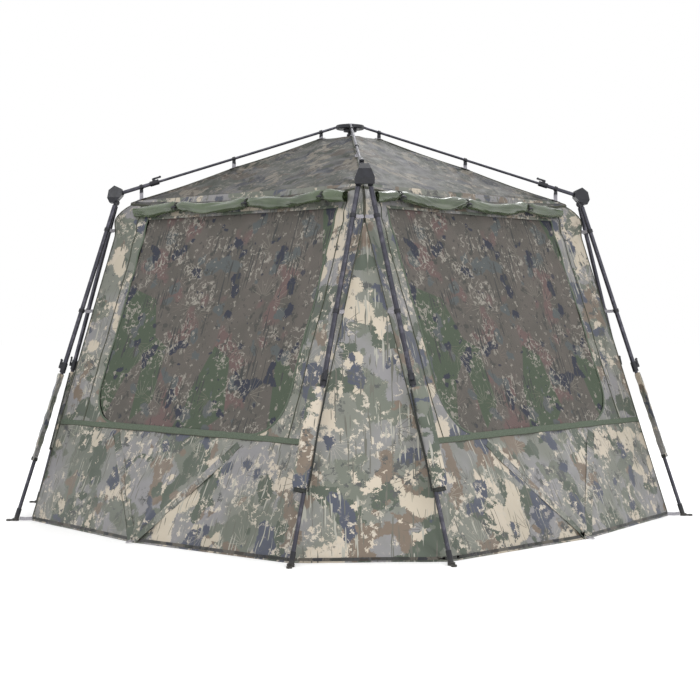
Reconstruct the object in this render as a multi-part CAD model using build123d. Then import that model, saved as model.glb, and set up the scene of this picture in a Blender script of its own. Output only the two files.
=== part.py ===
from build123d import *
import math
import os

# Pop-up screen shelter (ground blind) with an outside pole frame, millimetres.
# Z is up, the ground is z = 0, and the origin is on the ground at the middle of the plan.
# Everything is drawn once for one corner (radial axis +X, side axis +Y) or one wall
# (outward axis +X, along the wall +Y), and then turned about Z into its place.

# ---------- driving dimensions ----------
hub_top_z = 2000.0
hub_height = 41.0
hub_boss_radius = 34.0
hub_rim_radius = 73.0
hub_rim_height = 22.0
hub_rim_round = 6.0
hub_pin_length = 62.0
hub_slot_width = 14.0
hub_hinge_radius = 60.0
hub_hinge_z = 1985.0
hub_cap_radius = 46.0
hub_cap_height = 7.0
hub_cap_taper = 22.0
hub_slot_clearance = 2.0
hinge_pin_radius = 3.0
running_gap = 0.1
cut_length = 60.0

knuckle_radius = 1204.0
knuckle_z = 1630.0
arm_eye_width = 12.0
arm_eye_radius = 8.0
arm_neck_length = 22.0
arm_neck_height = 11.0
arm_inner_radius = 6.5
arm_inner_wall = 1.2
arm_outer_radius = 9.5
arm_slide_gap = 0.5
arm_collar_radial = 985.0
arm_collar_length = 48.0
arm_collar_radius = 13.5
arm_overlap = 80.0
arm_socket_depth = 38.0

leg_pivot_side = 25.0
leg_pivot_z = 1590.0
foot_radial = 1668.0
foot_side = 327.0
leg_outer_radius = 11.0
leg_inner_radius = 9.0
leg_slide_gap = 0.5
leg_wall = 1.4
leg_collar_at = 0.515
leg_collar_length = 52.0
leg_collar_radius = 14.5
leg_overlap = 130.0
leg_eye_radius = 11.0
leg_eye_width = 12.0
leg_tube_start = 19.0
leg_neck_height = 14.0
fork_cheek = 5.0
fork_gap = 0.6
fork_radius = 14.0
fork_root = 38.0
fork_clearance = 2.0
eye_clearance = 1.0
leg_fold_angle = 123.0
fold_space_reach = 120.0
fold_space_steps = 8
knuckle_half_width = 43.0
knuckle_front = ((0, 50), (17, 50), (27, 24), (43, -16), (43, -50), (0, -50))
knuckle_socket_length = 40.0
knuckle_socket_radius = 14.5
knuckle_bore_depth = 12.0
knuckle_outline = ((-33, -6), (-31, 28), (8, 46), (36, 22), (42, -20), (30, -44), (4, -44))

foot_base_radius = 16.0
foot_base_height = 12.0
foot_socket_radius = 11.8
foot_socket_length = 62.0
peg_tab_reach = 34.0
peg_tab_radius = 12.0
peg_tab_width = 15.0
peg_tab_thickness = 8.0
peg_hole_radius = 4.5

lever_width = 12.0
lever_length = 36.0
lever_thickness = 9.0
lever_pivot_out = 20.0
lever_pin_radius = 2.0
lever_ear = 4.0
lever_ear_top = 4.0
lever_side_gap = 0.5
lever_block_length = 14.0
lever_tip_swell = 1.0

cloth = 1.5
mesh_cloth = 1.0
eave_half = 764.0
eave_z = 1600.0
base_out = 1358.0
base_half = 891.0
shoulder_z = 1440.0
roof_flat_half = 106.0
roof_flat_z = 1923.0
window_half = 650.0
window_bottom = 492.0
window_top = 1500.0
window_corner = 180.0
window_gap = 8.0
window_top_gap = 2.0
window_arc_steps = 6
fillet_steps = 4
sill_z = 468.0
gusset_half = 446.0
peg_point_out = 1455.0
seam_gap = 1.0
gusset_top_z = sill_z - seam_gap

roll_radius = 32.0
roll_from = -737.0
roll_to = 713.0
roll_level = 1533.0
roll_gap = 1.0

strap_width = 24.0
strap_thickness = 1.6
strap_clearance = 2.0
strap_radials = (150.0, 600.0, 1075.0)
strap_hook = (10.0, 7.0, 8.0)
strap_hook_drop = 5.0
hub_strap = (20.0, 5.0)
hub_strap_gap = 1.0
clip_shares = (0.09, 0.35)
clip_width = 18.0
clip_seam_gap = 10.0
clip_pole_gap = 6.0
hem_strap_z = 16.0
hem_strap_width = 18.0
hem_strap_seam_gap = 12.0
hem_strap_foot_gap = 2.0
peg_loop = (30.0, 14.0)
peg_loop_hole = (14.0, 7.0)
peg_loop_gap = 4.0
peg_loop_z = 2.0

WALLS = {"front": -90.0, "right": 0.0, "back": 90.0, "left": 180.0}
CORNERS = {"front_right": -45.0, "back_right": 45.0, "back_left": 135.0, "front_left": -135.0}
LEG_NAMES = {
    ("front_right", -1): "front_wall_right",
    ("front_right", 1): "right_wall_front",
    ("back_right", -1): "right_wall_back",
    ("back_right", 1): "back_wall_right",
    ("back_left", -1): "back_wall_left",
    ("back_left", 1): "left_wall_back",
    ("front_left", -1): "left_wall_front",
    ("front_left", 1): "front_wall_left",
}

# ---------- places worked out from them ----------
lean = (base_out - eave_half) / eave_z
wall_normal = Vector(1, 0, lean).normalized()
arm_hinge = Vector(hub_hinge_radius, 0, hub_hinge_z)
arm_line = (Vector(knuckle_radius, 0, knuckle_z) - arm_hinge)
arm_length = arm_line.length
arm_dir = arm_line.normalized()
arm_collar_x = (arm_collar_radial - hub_hinge_radius) / arm_dir.X
arm_socket_x = arm_length - arm_socket_depth

lever_ears_width = lever_width + 2 * (lever_ear + lever_side_gap)
across_y = Rot(90, 0, 0)
along_x = Rot(0, 90, 0)
stood_on_base = (Align.CENTER, Align.CENTER, Align.MIN)

os.makedirs("parts", exist_ok=True)


# ---------- helpers ----------
def wall_out(z):
    """Distance of the inside of a wall from the middle of the shelter, at height z."""
    return eave_half + lean * (eave_z - z)


def wall_edge(z):
    """Half the width of a wall at height z: mitred above the shoulder, straight below it."""
    shoulder_half = wall_out(shoulder_z)
    if z >= shoulder_z:
        return wall_out(z)
    return base_half + (shoulder_half - base_half) * z / shoulder_z


def on_wall(s, z):
    return Vector(wall_out(z), s, z)


def wall_to_corner(out, s):
    """The same point as radial and side distances of the corner at this wall's +s end."""
    turn = math.radians(45.0)
    radial = out * math.cos(turn) + s * math.sin(turn)
    side = s * math.cos(turn) - out * math.sin(turn)
    return radial, side


def frame_at(origin, x_dir, z_dir):
    return Plane(origin=origin, x_dir=x_dir, z_dir=z_dir).location


def rod(start, direction, length, radius):
    unit = direction.normalized()
    helper = Vector(0, 1, 0) if abs(unit.Y) < 0.9 else Vector(1, 0, 0)
    place = frame_at(start, unit.cross(helper), unit)
    return place * Cylinder(radius, length, align=stood_on_base)


def slab(points, thickness, outward):
    """A flat sheet: the points lie on its inside, and it grows outward."""
    normal = (points[1] - points[0]).cross(points[2] - points[0]).normalized()
    if normal.dot(outward) < 0:
        normal = normal * -1
    face = Face(Wire.make_polygon(points, close=True))
    return Solid.extrude(face, normal * thickness)


def sewn_slab(points, thickness, outward):
    """A three-cornered slab drawn in by the seam gap, so that bent seams don't overlap."""
    middle = (points[0] + points[1] + points[2]) * (1 / 3)
    drawn_in = []
    for point in points:
        moved = point + (middle - point).normalized() * seam_gap
        if point.Z == 0:
            moved = Vector(moved.X, moved.Y, 0)
        drawn_in.append(moved)
    return slab(drawn_in, thickness, outward)


def turned(shapes, azimuth):
    return [Rot(0, 0, azimuth) * shape for shape in shapes]


def save(shapes, name):
    solids = []
    for shape in shapes:
        solids.extend(shape.solids())
    shape = solids[0] if len(solids) == 1 else Compound(children=solids)
    export_step(shape, f"parts/{name}.step")


# ---------- hub ----------
def make_hub():
    body_bottom = hub_top_z - hub_height
    body_top = hub_top_z - hub_cap_height
    core_height = body_top - body_bottom
    rim = Cylinder(hub_rim_radius, hub_rim_height)
    rim = fillet(rim.edges().filter_by(GeomType.CIRCLE), hub_rim_round)
    body = Pos(0, 0, body_bottom + core_height / 2) * Cylinder(hub_boss_radius, core_height)
    body += Pos(0, 0, body_top - hub_rim_height / 2) * rim
    slot_start = hub_hinge_radius - arm_eye_radius - hub_slot_clearance
    for azimuth in CORNERS.values():
        slot_middle = Pos(slot_start + cut_length / 2, 0, hub_hinge_z)
        slot = slot_middle * Box(cut_length, hub_slot_width, 2 * hub_height)
        pin_hole = Pos(hub_hinge_radius, 0, hub_hinge_z) * across_y * Cylinder(hinge_pin_radius, hub_pin_length)
        body -= Rot(0, 0, azimuth) * slot
        body -= Rot(0, 0, azimuth) * pin_hole
    save([body], "hub_body")

    dome = Pos(0, 0, body_top) * Cone(
        hub_cap_radius, hub_cap_radius - hub_cap_taper, hub_cap_height, align=stood_on_base
    )
    save([dome], "hub_cap")

    pin = Pos(hub_hinge_radius, 0, hub_hinge_z) * across_y * Cylinder(hinge_pin_radius, hub_pin_length)
    save([Rot(0, 0, azimuth) * pin for azimuth in CORNERS.values()], "hub_hinge_pins")


# ---------- cam lever, drawn on a pole that runs along +X with the lever on its +Z side ----------
def lever_ears(pole_radius):
    height = lever_pivot_out + lever_ear_top
    block = Pos(0, 0, height / 2) * Box(lever_block_length, lever_ears_width, height)
    gap_width = lever_width + 2 * lever_side_gap
    gap = Pos(0, 0, pole_radius + cut_length / 2) * Box(cut_length, gap_width, cut_length)
    hole = Pos(0, 0, lever_pivot_out) * across_y * Cylinder(lever_pin_radius + running_gap, cut_length)
    return block - gap - hole


def lever_solids(pole_radius):
    cam_radius = lever_pivot_out - pole_radius - fork_gap
    cam = Pos(0, 0, lever_pivot_out) * across_y * Cylinder(cam_radius, lever_width)
    handle_z = lever_pivot_out + cam_radius - lever_thickness / 2
    handle = Pos(-lever_length / 2, 0, handle_z) * Box(lever_length, lever_width, lever_thickness)
    tip_radius = lever_thickness / 2 + lever_tip_swell
    tip = Pos(-lever_length, 0, handle_z + lever_tip_swell) * across_y * Cylinder(tip_radius, lever_width)
    hole = Pos(0, 0, lever_pivot_out) * across_y * Cylinder(lever_pin_radius, cut_length)
    lever = cam + handle + tip - hole
    pin = Pos(0, 0, lever_pivot_out) * across_y * Cylinder(lever_pin_radius, lever_ears_width)
    return [lever, pin]


# ---------- roof arm ----------
def make_arm(corner, azimuth):
    place = frame_at(arm_hinge, arm_dir, arm_dir.cross(Vector(0, 1, 0)))
    eye = across_y * Cylinder(arm_eye_radius, arm_eye_width)
    eye += Pos(arm_neck_length / 2, 0, 0) * Box(arm_neck_length, arm_eye_width, arm_neck_height)
    eye -= across_y * Cylinder(hinge_pin_radius + running_gap, cut_length)
    tube_start = arm_neck_length
    tube_end = arm_collar_x + arm_collar_length + arm_overlap
    inner = Pos((tube_start + tube_end) / 2, 0, 0) * along_x * (
        Cylinder(arm_inner_radius, tube_end - tube_start)
        - Cylinder(arm_inner_radius - arm_inner_wall, tube_end - tube_start + 2)
    )
    save(turned([place * eye, place * inner], azimuth), f"arm_inner_tube_{corner}")

    bore = arm_inner_radius + arm_slide_gap
    collar = Pos(arm_collar_x + arm_collar_length / 2, 0, 0) * (
        along_x * Cylinder(arm_collar_radius, arm_collar_length)
        + lever_ears(arm_collar_radius)
        - along_x * Cylinder(bore, arm_collar_length + 2)
    )
    outer_start = arm_collar_x + arm_collar_length
    outer_length = arm_socket_x - outer_start
    outer = Pos(outer_start + outer_length / 2, 0, 0) * along_x * (
        Cylinder(arm_outer_radius, outer_length) - Cylinder(bore, outer_length + 2)
    )
    save(turned([place * collar, place * outer], azimuth), f"arm_outer_tube_{corner}")

    lever_place = place * Pos(arm_collar_x + arm_collar_length / 2, 0, 0)
    levers = [lever_place * solid for solid in lever_solids(arm_collar_radius)]
    save(turned(levers, azimuth), f"arm_lock_lever_{corner}")


# ---------- legs ----------
def leg_frame(side):
    """Pivot, direction down the leg, and the fold axis that turns the leg up under its arm."""
    pivot = Vector(knuckle_radius, side * leg_pivot_side, leg_pivot_z)
    foot = Vector(foot_radial, side * foot_side, 0)
    down = (foot - pivot).normalized()
    axis = down.cross(arm_dir * -1).normalized()
    return pivot, down, axis, (foot - pivot).length


def leg_place(side, along=0.0):
    """+X runs down the leg, +Y is the fold axis, +Z is the outer face of the leg."""
    pivot, down, axis, _ = leg_frame(side)
    outward = down.cross(axis)
    return frame_at(pivot + down * along, down, outward)


def make_leg(leg, azimuth, side):
    _, _, _, length = leg_frame(side)
    collar_start = leg_collar_at * length
    place = leg_place(side)

    eye = across_y * Cylinder(leg_eye_radius, leg_eye_width)
    eye += Pos(leg_tube_start / 2, 0, 0) * Box(leg_tube_start, leg_eye_width, leg_neck_height)
    eye -= across_y * Cylinder(hinge_pin_radius + running_gap, cut_length)
    bore = leg_inner_radius + leg_slide_gap
    tube_length = collar_start - leg_tube_start
    outer = Pos(leg_tube_start + tube_length / 2, 0, 0) * along_x * (
        Cylinder(leg_outer_radius, tube_length) - Cylinder(bore, tube_length + 2)
    )
    middle = collar_start + leg_collar_length / 2
    collar = Pos(middle, 0, 0) * (
        along_x * Cylinder(leg_collar_radius, leg_collar_length)
        + lever_ears(leg_collar_radius)
        - along_x * Cylinder(bore, leg_collar_length + 2)
    )
    save(turned([place * eye, place * outer, place * collar], azimuth), f"upper_leg_{leg}")

    levers = [place * Pos(middle, 0, 0) * solid for solid in lever_solids(leg_collar_radius)]
    save(turned(levers, azimuth), f"leg_lock_lever_{leg}")

    lower_start = collar_start - leg_overlap
    lower_end = length - foot_socket_length
    lower_length = lower_end - lower_start
    lower = Pos(lower_start + lower_length / 2, 0, 0) * along_x * (
        Cylinder(leg_inner_radius, lower_length) - Cylinder(leg_inner_radius - leg_wall, lower_length + 2)
    )
    save(turned([place * lower] + foot_solids(side, length), azimuth), f"lower_leg_{leg}")


def foot_solids(side, length):
    """Socket along the leg, a flat pad on the ground and a peg tab pointing outward."""
    pad = Pos(foot_radial, side * foot_side, foot_base_height / 2) * Cylinder(
        foot_base_radius, foot_base_height
    )
    outward = Vector(foot_radial, side * foot_side, 0).normalized()
    tab_place = frame_at(Vector(foot_radial, side * foot_side, 0), outward, Vector(0, 0, 1))
    tab_middle = peg_tab_thickness / 2
    bar = Pos(peg_tab_reach / 2, 0, tab_middle) * Box(peg_tab_reach, peg_tab_width, peg_tab_thickness)
    ring = Pos(peg_tab_reach, 0, tab_middle) * Cylinder(peg_tab_radius, peg_tab_thickness)
    hole = Pos(peg_tab_reach, 0, 0) * Cylinder(peg_hole_radius, cut_length)
    socket = along_x * Cylinder(foot_socket_radius, foot_socket_length)
    socket = leg_place(side, length - foot_socket_length / 2) * socket
    below = Pos(foot_radial, side * foot_side, -cut_length / 2) * Box(cut_length, cut_length, cut_length)
    foot = pad + tab_place * bar + tab_place * ring + socket - tab_place * hole - below
    return [foot]


# ---------- knuckle ----------
def fold_space(half_width, half_height, start, side):
    """The space that a leg needs between hanging down and lying under its arm."""
    reach = fold_space_reach
    points = [Vector(0, 0, 0)]
    for index in range(fold_space_steps + 1):
        angle = math.radians(leg_fold_angle * index / fold_space_steps)
        points.append(Vector(reach * math.cos(angle), 0, -reach * math.sin(angle)))
    face = Face(Wire.make_polygon(points, close=True))
    space = Pos(0, -half_width, 0) * Solid.extrude(face, Vector(0, 2 * half_width, 0))
    for angle in (0.0, leg_fold_angle):
        end = Pos((start + reach) / 2, 0, 0) * Box(reach - start, 2 * half_width, 2 * half_height)
        space += Rot(0, angle, 0) * end
    return leg_place(side) * space


def make_knuckle(corner, azimuth):
    points = [Vector(knuckle_radius + r, -knuckle_half_width, knuckle_z + z) for r, z in knuckle_outline]
    face = Face(Wire.make_polygon(points, close=True))
    core = Solid.extrude(face, Vector(0, 2 * knuckle_half_width, 0))
    front = [Vector(0, y, knuckle_z + z) for y, z in knuckle_front]
    front += [Vector(0, -y, knuckle_z + z) for y, z in reversed(knuckle_front[1:-1])]
    tapered = Solid.extrude(Face(Wire.make_polygon(front, close=True)), Vector(2 * knuckle_radius, 0, 0))
    core = core & tapered
    socket_start = arm_hinge + arm_dir * arm_socket_x
    core += rod(socket_start, arm_dir, knuckle_socket_length, knuckle_socket_radius)
    core -= rod(socket_start - arm_dir, arm_dir, knuckle_bore_depth + 1, arm_inner_radius + arm_slide_gap)
    half_width = leg_eye_width / 2 + fork_gap + fork_cheek
    for side in (-1, 1):
        place = leg_place(side)
        away_from_swing = Rot(0, leg_fold_angle / 2 + 180, 0)
        block = Pos(fork_root / 2, 0, 0) * Box(fork_root, 2 * half_width, 2 * fork_radius)
        core += place * away_from_swing * block
        core += place * across_y * Cylinder(fork_radius, 2 * half_width)
    pins = []
    tube_space = leg_outer_radius + fork_clearance
    neck_space = leg_neck_height / 2 + eye_clearance
    for side in (-1, 1):
        place = leg_place(side)
        cheeks = place * across_y * Cylinder(fork_radius, cut_length)
        core -= fold_space(tube_space, tube_space, fork_radius, side) - cheeks
        core -= place * across_y * Cylinder(leg_eye_radius + eye_clearance, leg_eye_width + 2 * fork_gap)
        core -= fold_space(leg_eye_width / 2 + fork_gap, neck_space, 0, side)
        core -= place * across_y * Cylinder(hinge_pin_radius, cut_length)
        pins.append(place * across_y * Cylinder(hinge_pin_radius, 2 * half_width))
    save(turned([core] + pins, azimuth), f"knuckle_{corner}")


# ---------- fabric ----------
def window_corner_fillets():
    """Flat wedges that leave a round corner at the bottom of a window."""
    wedges = []
    for sign in (-1, 1):
        tip = (sign * window_half, window_bottom)
        centre = (sign * (window_half - window_corner), window_bottom + window_corner)
        arc = []
        for index in range(fillet_steps + 1):
            angle = math.radians(90.0 * index / fillet_steps)
            s = centre[0] + sign * window_corner * math.cos(angle)
            z = centre[1] - window_corner * math.sin(angle)
            arc.append((s, z))
        for first, second in zip(arc, arc[1:]):
            corners = [on_wall(*tip), on_wall(*first), on_wall(*second)]
            wedges.append(slab(corners, cloth, wall_normal))
    return wedges


def make_wall(wall, azimuth):
    header = [
        on_wall(-eave_half, eave_z),
        on_wall(eave_half, eave_z),
        on_wall(wall_edge(window_top), window_top),
        on_wall(-wall_edge(window_top), window_top),
    ]
    sill = [
        on_wall(-wall_edge(window_bottom), window_bottom),
        on_wall(wall_edge(window_bottom), window_bottom),
        on_wall(wall_edge(sill_z), sill_z),
        on_wall(-wall_edge(sill_z), sill_z),
    ]
    solids = [slab(header, cloth, wall_normal), slab(sill, cloth, wall_normal)]
    peg_point = Vector(peg_point_out, 0, 0)
    for sign in (-1, 1):
        stile = [
            on_wall(sign * window_half, window_top),
            on_wall(sign * wall_edge(window_top), window_top),
            on_wall(sign * wall_edge(shoulder_z), shoulder_z),
            on_wall(sign * wall_edge(window_bottom), window_bottom),
            on_wall(sign * window_half, window_bottom),
        ]
        solids.append(slab(stile, cloth, wall_normal))
        gusset_top = on_wall(sign * gusset_half, gusset_top_z)
        hem_corner = on_wall(sign * base_half, 0)
        sill_corner = on_wall(sign * wall_edge(sill_z), gusset_top_z)
        solids.append(sewn_slab([gusset_top, sill_corner, hem_corner], cloth, wall_normal))
        solids.append(sewn_slab([gusset_top, hem_corner, peg_point], cloth, wall_normal))
    gusset = [on_wall(-gusset_half, gusset_top_z), on_wall(gusset_half, gusset_top_z), peg_point]
    solids.append(sewn_slab(gusset, cloth, wall_normal))
    solids.extend(window_corner_fillets())
    save(turned(solids, azimuth), f"side_wall_{wall}")


def make_mesh_window(wall, azimuth):
    """Screen panel in the window opening, square at the top and round at the bottom."""
    half = window_half - window_gap
    bottom = window_bottom + window_gap
    top = window_top - window_top_gap
    radius = window_corner - window_gap
    outline = [on_wall(-half, top), on_wall(half, top)]
    for sign in (1, -1):
        for index in range(window_arc_steps + 1):
            turn = index if sign == 1 else window_arc_steps - index
            angle = math.radians(90.0 * turn / window_arc_steps)
            s = sign * (half - radius + radius * math.cos(angle))
            z = bottom + radius - radius * math.sin(angle)
            outline.append(on_wall(s, z))
    save(turned([slab(outline, mesh_cloth, wall_normal)], azimuth), f"mesh_window_{wall}")


def make_corner_panel(corner, azimuth):
    apex_radial, _ = wall_to_corner(wall_out(shoulder_z), wall_edge(shoulder_z))
    hem_radial, hem_side = wall_to_corner(base_out, base_half)
    triangle = [
        Vector(apex_radial, 0, shoulder_z),
        Vector(hem_radial, hem_side, 0),
        Vector(hem_radial, -hem_side, 0),
    ]
    save(turned([sewn_slab(triangle, cloth, Vector(1, 0, 0))], azimuth), f"corner_panel_{corner}")


def make_roof():
    solids = []
    for azimuth in WALLS.values():
        sector = [
            Vector(eave_half, -eave_half, eave_z),
            Vector(eave_half, eave_half, eave_z),
            Vector(roof_flat_half, roof_flat_half, roof_flat_z),
            Vector(roof_flat_half, -roof_flat_half, roof_flat_z),
        ]
        solids.extend(turned([slab(sector, cloth, Vector(0, 0, 1))], azimuth))
    top = [
        Vector(roof_flat_half, roof_flat_half, roof_flat_z),
        Vector(-roof_flat_half, roof_flat_half, roof_flat_z),
        Vector(-roof_flat_half, -roof_flat_half, roof_flat_z),
        Vector(roof_flat_half, -roof_flat_half, roof_flat_z),
    ]
    solids.append(slab(top, cloth, Vector(0, 0, 1)))
    save(solids, "roof_canopy")


def make_rolls():
    """Storm panels rolled up and tied under each eave."""
    centre = on_wall(0, roll_level) + wall_normal * (cloth + roll_gap + roll_radius)
    start = Vector(centre.X, roll_from, centre.Z)
    roll = rod(start, Vector(0, 1, 0), roll_to - roll_from, roll_radius)
    rolls = []
    for azimuth in WALLS.values():
        rolls.extend(turned([roll], azimuth))
    save(rolls, "rolled_storm_panels")


def make_canopy_straps():
    """Webbing between the roof ridges and the arms, and the one under the hub."""
    ridge_slope = (roof_flat_z - eave_z) / (roof_flat_half - eave_half) / math.sqrt(2)
    straps = []
    for radial in strap_radials:
        ridge_z = eave_z + ridge_slope * (radial - eave_half * math.sqrt(2))
        arm_z = hub_hinge_z + arm_dir.Z / arm_dir.X * (radial - hub_hinge_radius)
        tube_radius = arm_outer_radius if radial > arm_collar_radial else arm_inner_radius
        bottom = ridge_z + 2 * cloth - ridge_slope * strap_width / 2 + strap_clearance
        top = arm_z - tube_radius + arm_dir.Z / arm_dir.X * strap_width / 2 - strap_clearance
        middle = (bottom + top) / 2
        web = Pos(radial, 0, middle) * Box(strap_width, strap_thickness, top - bottom)
        hook = Pos(radial, 0, top - strap_hook_drop) * Box(*strap_hook) - web
        straps.append(web)
        straps.append(hook)
    solids = []
    for azimuth in CORNERS.values():
        solids.extend(turned(straps, azimuth))
    hub_bottom = hub_top_z - hub_height
    drop = hub_bottom - roof_flat_z - cloth - 2 * hub_strap_gap
    solids.append(Pos(0, 0, hub_bottom - hub_strap_gap - drop / 2) * Box(*hub_strap, drop))
    save(solids, "canopy_hang_straps")


def flat_strap(start, end, width, start_gap, end_gap, wide_dir):
    run = end - start
    unit = run.normalized()
    length = run.length - start_gap - end_gap
    place = frame_at(start + unit * (start_gap + length / 2), unit, unit.cross(wide_dir))
    return place * Box(length, width, strap_thickness)


def make_pole_clips():
    """Short tabs that hold the corner seams to the legs."""
    solids = []
    for corner_azimuth in CORNERS.values():
        for side in (-1, 1):
            pivot, down, _, length = leg_frame(side)
            for share in clip_shares:
                on_leg = pivot + down * (share * length)
                edge_radial, edge_side = wall_to_corner(wall_out(on_leg.Z), wall_edge(on_leg.Z))
                seam = Vector(edge_radial, -side * edge_side, on_leg.Z)
                pole_gap = leg_outer_radius + clip_pole_gap
                tab = flat_strap(seam, on_leg, clip_width, clip_seam_gap, pole_gap, Vector(0, 0, 1))
                solids.extend(turned([tab], corner_azimuth))
    save(solids, "pole_clip_tabs")


def make_hem_straps():
    """Peg loop in the middle of each hem, and a strap from each hem corner to its foot."""
    solids = []
    for azimuth in WALLS.values():
        loop = Box(*peg_loop, strap_thickness) - Box(*peg_loop_hole, cut_length)
        loop = Pos(peg_point_out + peg_loop_gap + peg_loop[0] / 2, 0, peg_loop_z) * loop
        solids.extend(turned([loop], azimuth))
    hem_radial, hem_side = wall_to_corner(base_out, base_half)
    for azimuth in CORNERS.values():
        for side in (-1, 1):
            seam = Vector(hem_radial, -side * hem_side, hem_strap_z)
            foot = Vector(foot_radial, side * foot_side, hem_strap_z)
            foot_gap = foot_base_radius + hem_strap_foot_gap
            strap = flat_strap(seam, foot, hem_strap_width, hem_strap_seam_gap, foot_gap, Vector(0, 1, 0))
            solids.extend(turned([strap], azimuth))
    save(solids, "hem_straps_and_loops")


# ---------- build every node ----------
make_hub()
make_roof()
make_rolls()
make_canopy_straps()
make_pole_clips()
make_hem_straps()
for wall_name, wall_azimuth in WALLS.items():
    make_wall(wall_name, wall_azimuth)
    make_mesh_window(wall_name, wall_azimuth)
for corner_name, corner_azimuth in CORNERS.items():
    make_corner_panel(corner_name, corner_azimuth)
    make_arm(corner_name, corner_azimuth)
    make_knuckle(corner_name, corner_azimuth)
for (corner_name, leg_side), leg_name in LEG_NAMES.items():
    make_leg(leg_name, CORNERS[corner_name], leg_side)
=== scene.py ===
import math

import bpy
import numpy as np
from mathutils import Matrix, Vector


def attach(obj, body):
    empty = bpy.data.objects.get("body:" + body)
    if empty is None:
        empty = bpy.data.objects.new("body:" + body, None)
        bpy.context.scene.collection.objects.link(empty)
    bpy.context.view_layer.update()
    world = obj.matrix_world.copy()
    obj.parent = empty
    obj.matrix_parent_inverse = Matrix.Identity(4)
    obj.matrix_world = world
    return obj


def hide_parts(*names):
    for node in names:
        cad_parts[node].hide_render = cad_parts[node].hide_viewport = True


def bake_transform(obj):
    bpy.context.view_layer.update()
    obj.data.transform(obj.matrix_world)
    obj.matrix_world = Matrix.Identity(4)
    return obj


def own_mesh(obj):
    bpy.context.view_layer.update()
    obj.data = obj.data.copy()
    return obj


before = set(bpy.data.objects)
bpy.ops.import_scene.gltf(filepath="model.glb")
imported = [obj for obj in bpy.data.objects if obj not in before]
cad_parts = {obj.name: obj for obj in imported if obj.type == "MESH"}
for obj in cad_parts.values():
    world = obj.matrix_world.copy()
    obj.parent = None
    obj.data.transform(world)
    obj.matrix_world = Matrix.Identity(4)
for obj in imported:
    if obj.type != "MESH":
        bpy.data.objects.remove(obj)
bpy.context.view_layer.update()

# ---------- places, in metres, in the model's own frame ----------
# A point of a wall is (out, along, z): out from the middle of the shelter, along the wall.
# A point of a corner is (radial, side, z): radial along the corner's diagonal.
WALLS = {"front": -90.0, "right": 0.0, "back": 90.0, "left": 180.0}
CORNERS = {"front_right": -45.0, "back_right": 45.0, "back_left": 135.0, "front_left": -135.0}
WALL_LEGS = {
    "front": ("front_wall_left", "front_wall_right"),
    "right": ("right_wall_front", "right_wall_back"),
    "back": ("back_wall_right", "back_wall_left"),
    "left": ("left_wall_back", "left_wall_front"),
}
CORNER_LEGS = {
    "front_right": ("front_wall_right", "right_wall_front"),
    "back_right": ("right_wall_back", "back_wall_right"),
    "back_left": ("back_wall_left", "left_wall_back"),
    "front_left": ("left_wall_front", "front_wall_left"),
}
# Each leg's corner, and the side of the corner's diagonal that it stands on.
LEG_CORNER = {}
for corner_name, corner_legs in CORNER_LEGS.items():
    LEG_CORNER[corner_legs[0]] = (corner_name, -1)
    LEG_CORNER[corner_legs[1]] = (corner_name, 1)
# Where the ties of a storm roll sit along its wall.
TIE_PLACES = {
    "front": (-0.41, 0.09, 0.58),
    "right": (-0.58, -0.09, 0.41),
    "back": (-0.41, 0.09, 0.58),
    "left": (-0.58, -0.09, 0.41),
}
ROOT = "hub_and_canopy"
HALF_TURN = math.sqrt(0.5)

eave_z = 1.600
eave_out = 0.764
base_out = 1.358
lean = (base_out - eave_out) / eave_z
roof_top_z = 1.923
roof_top_half = 0.106
roof_overhang = 0.036
sill_z = 0.468
window_half = 0.650
window_bottom = 0.492
window_top = 1.498
window_corner = 0.180
zip_half = 0.710
gusset_half = 0.446
peg_out = 1.455
shoulder_split_z = 1.425
hem_radial = 1.590
hem_side = 0.330
seam_heights = (0.0, 1.425, 1.505, 1.560, 1.600)
seam_radials = (1.590, 1.208, 1.214, 1.160, 1.080)

pivot = (1.204, 0.025, 1.590)
foot = (1.668, 0.327, 0.0)
hub_hinge = (0.060, 0.0, 1.985)
knuckle = (1.204, 0.0, 1.630)
leg_tube_radius = 0.011
roll_out = 0.822
roll_z = 1.5455
roll_radius = 0.031
roll_from = -0.737
roll_to = 0.713
# Where the canopy's straps hang, and where the thicker arm tube begins, by distance along the diagonal.
strap_radials = (0.150, 0.600, 1.075)
outer_arm_from = 0.985
inner_arm_radius = 0.0065
outer_arm_radius = 0.0095
# How far the canopy dips below its ridge line between the straps, by distance along the diagonal.
ridge_radials = (0.0, 0.15, 0.26, 0.375, 0.49, 0.60, 0.72, 0.84, 0.96, 1.04, 1.08, 1.12)
ridge_dips = (0.004, 0.0, 0.004, 0.006, 0.004, 0.0, 0.004, 0.006, 0.004, 0.001, 0.0, 0.0)

cloth_thickness = 0.0012
thin_cloth = 0.0009
lowest_cloth = 0.0008
UP = np.array([0.0, 0.0, 1.0])
# Thickness of the sewn-on bands, the straps and the moulded rings.
band_thickness = 0.0014
strap_thickness = 0.0018
ring_thickness = 0.0030
# Each kind of cloth starts its random folds at a number of its own.
wall_seed = 3
corner_seed = 12
roof_seed = 60

camera_place = (5.000, -5.5455, 1.0448)
camera_forward = (-0.66940, 0.74234, -0.02886)
camera_lens = 73.85


def srgb(red, green, blue):
    """A colour given as it looks, 0 to 255, as the linear numbers that shaders use."""
    channels = []
    for value in (red, green, blue):
        share = value / 255.0
        channels.append(share / 12.92 if share <= 0.04045 else ((share + 0.055) / 1.055) ** 2.4)
    return (*channels, 1.0)


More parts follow.
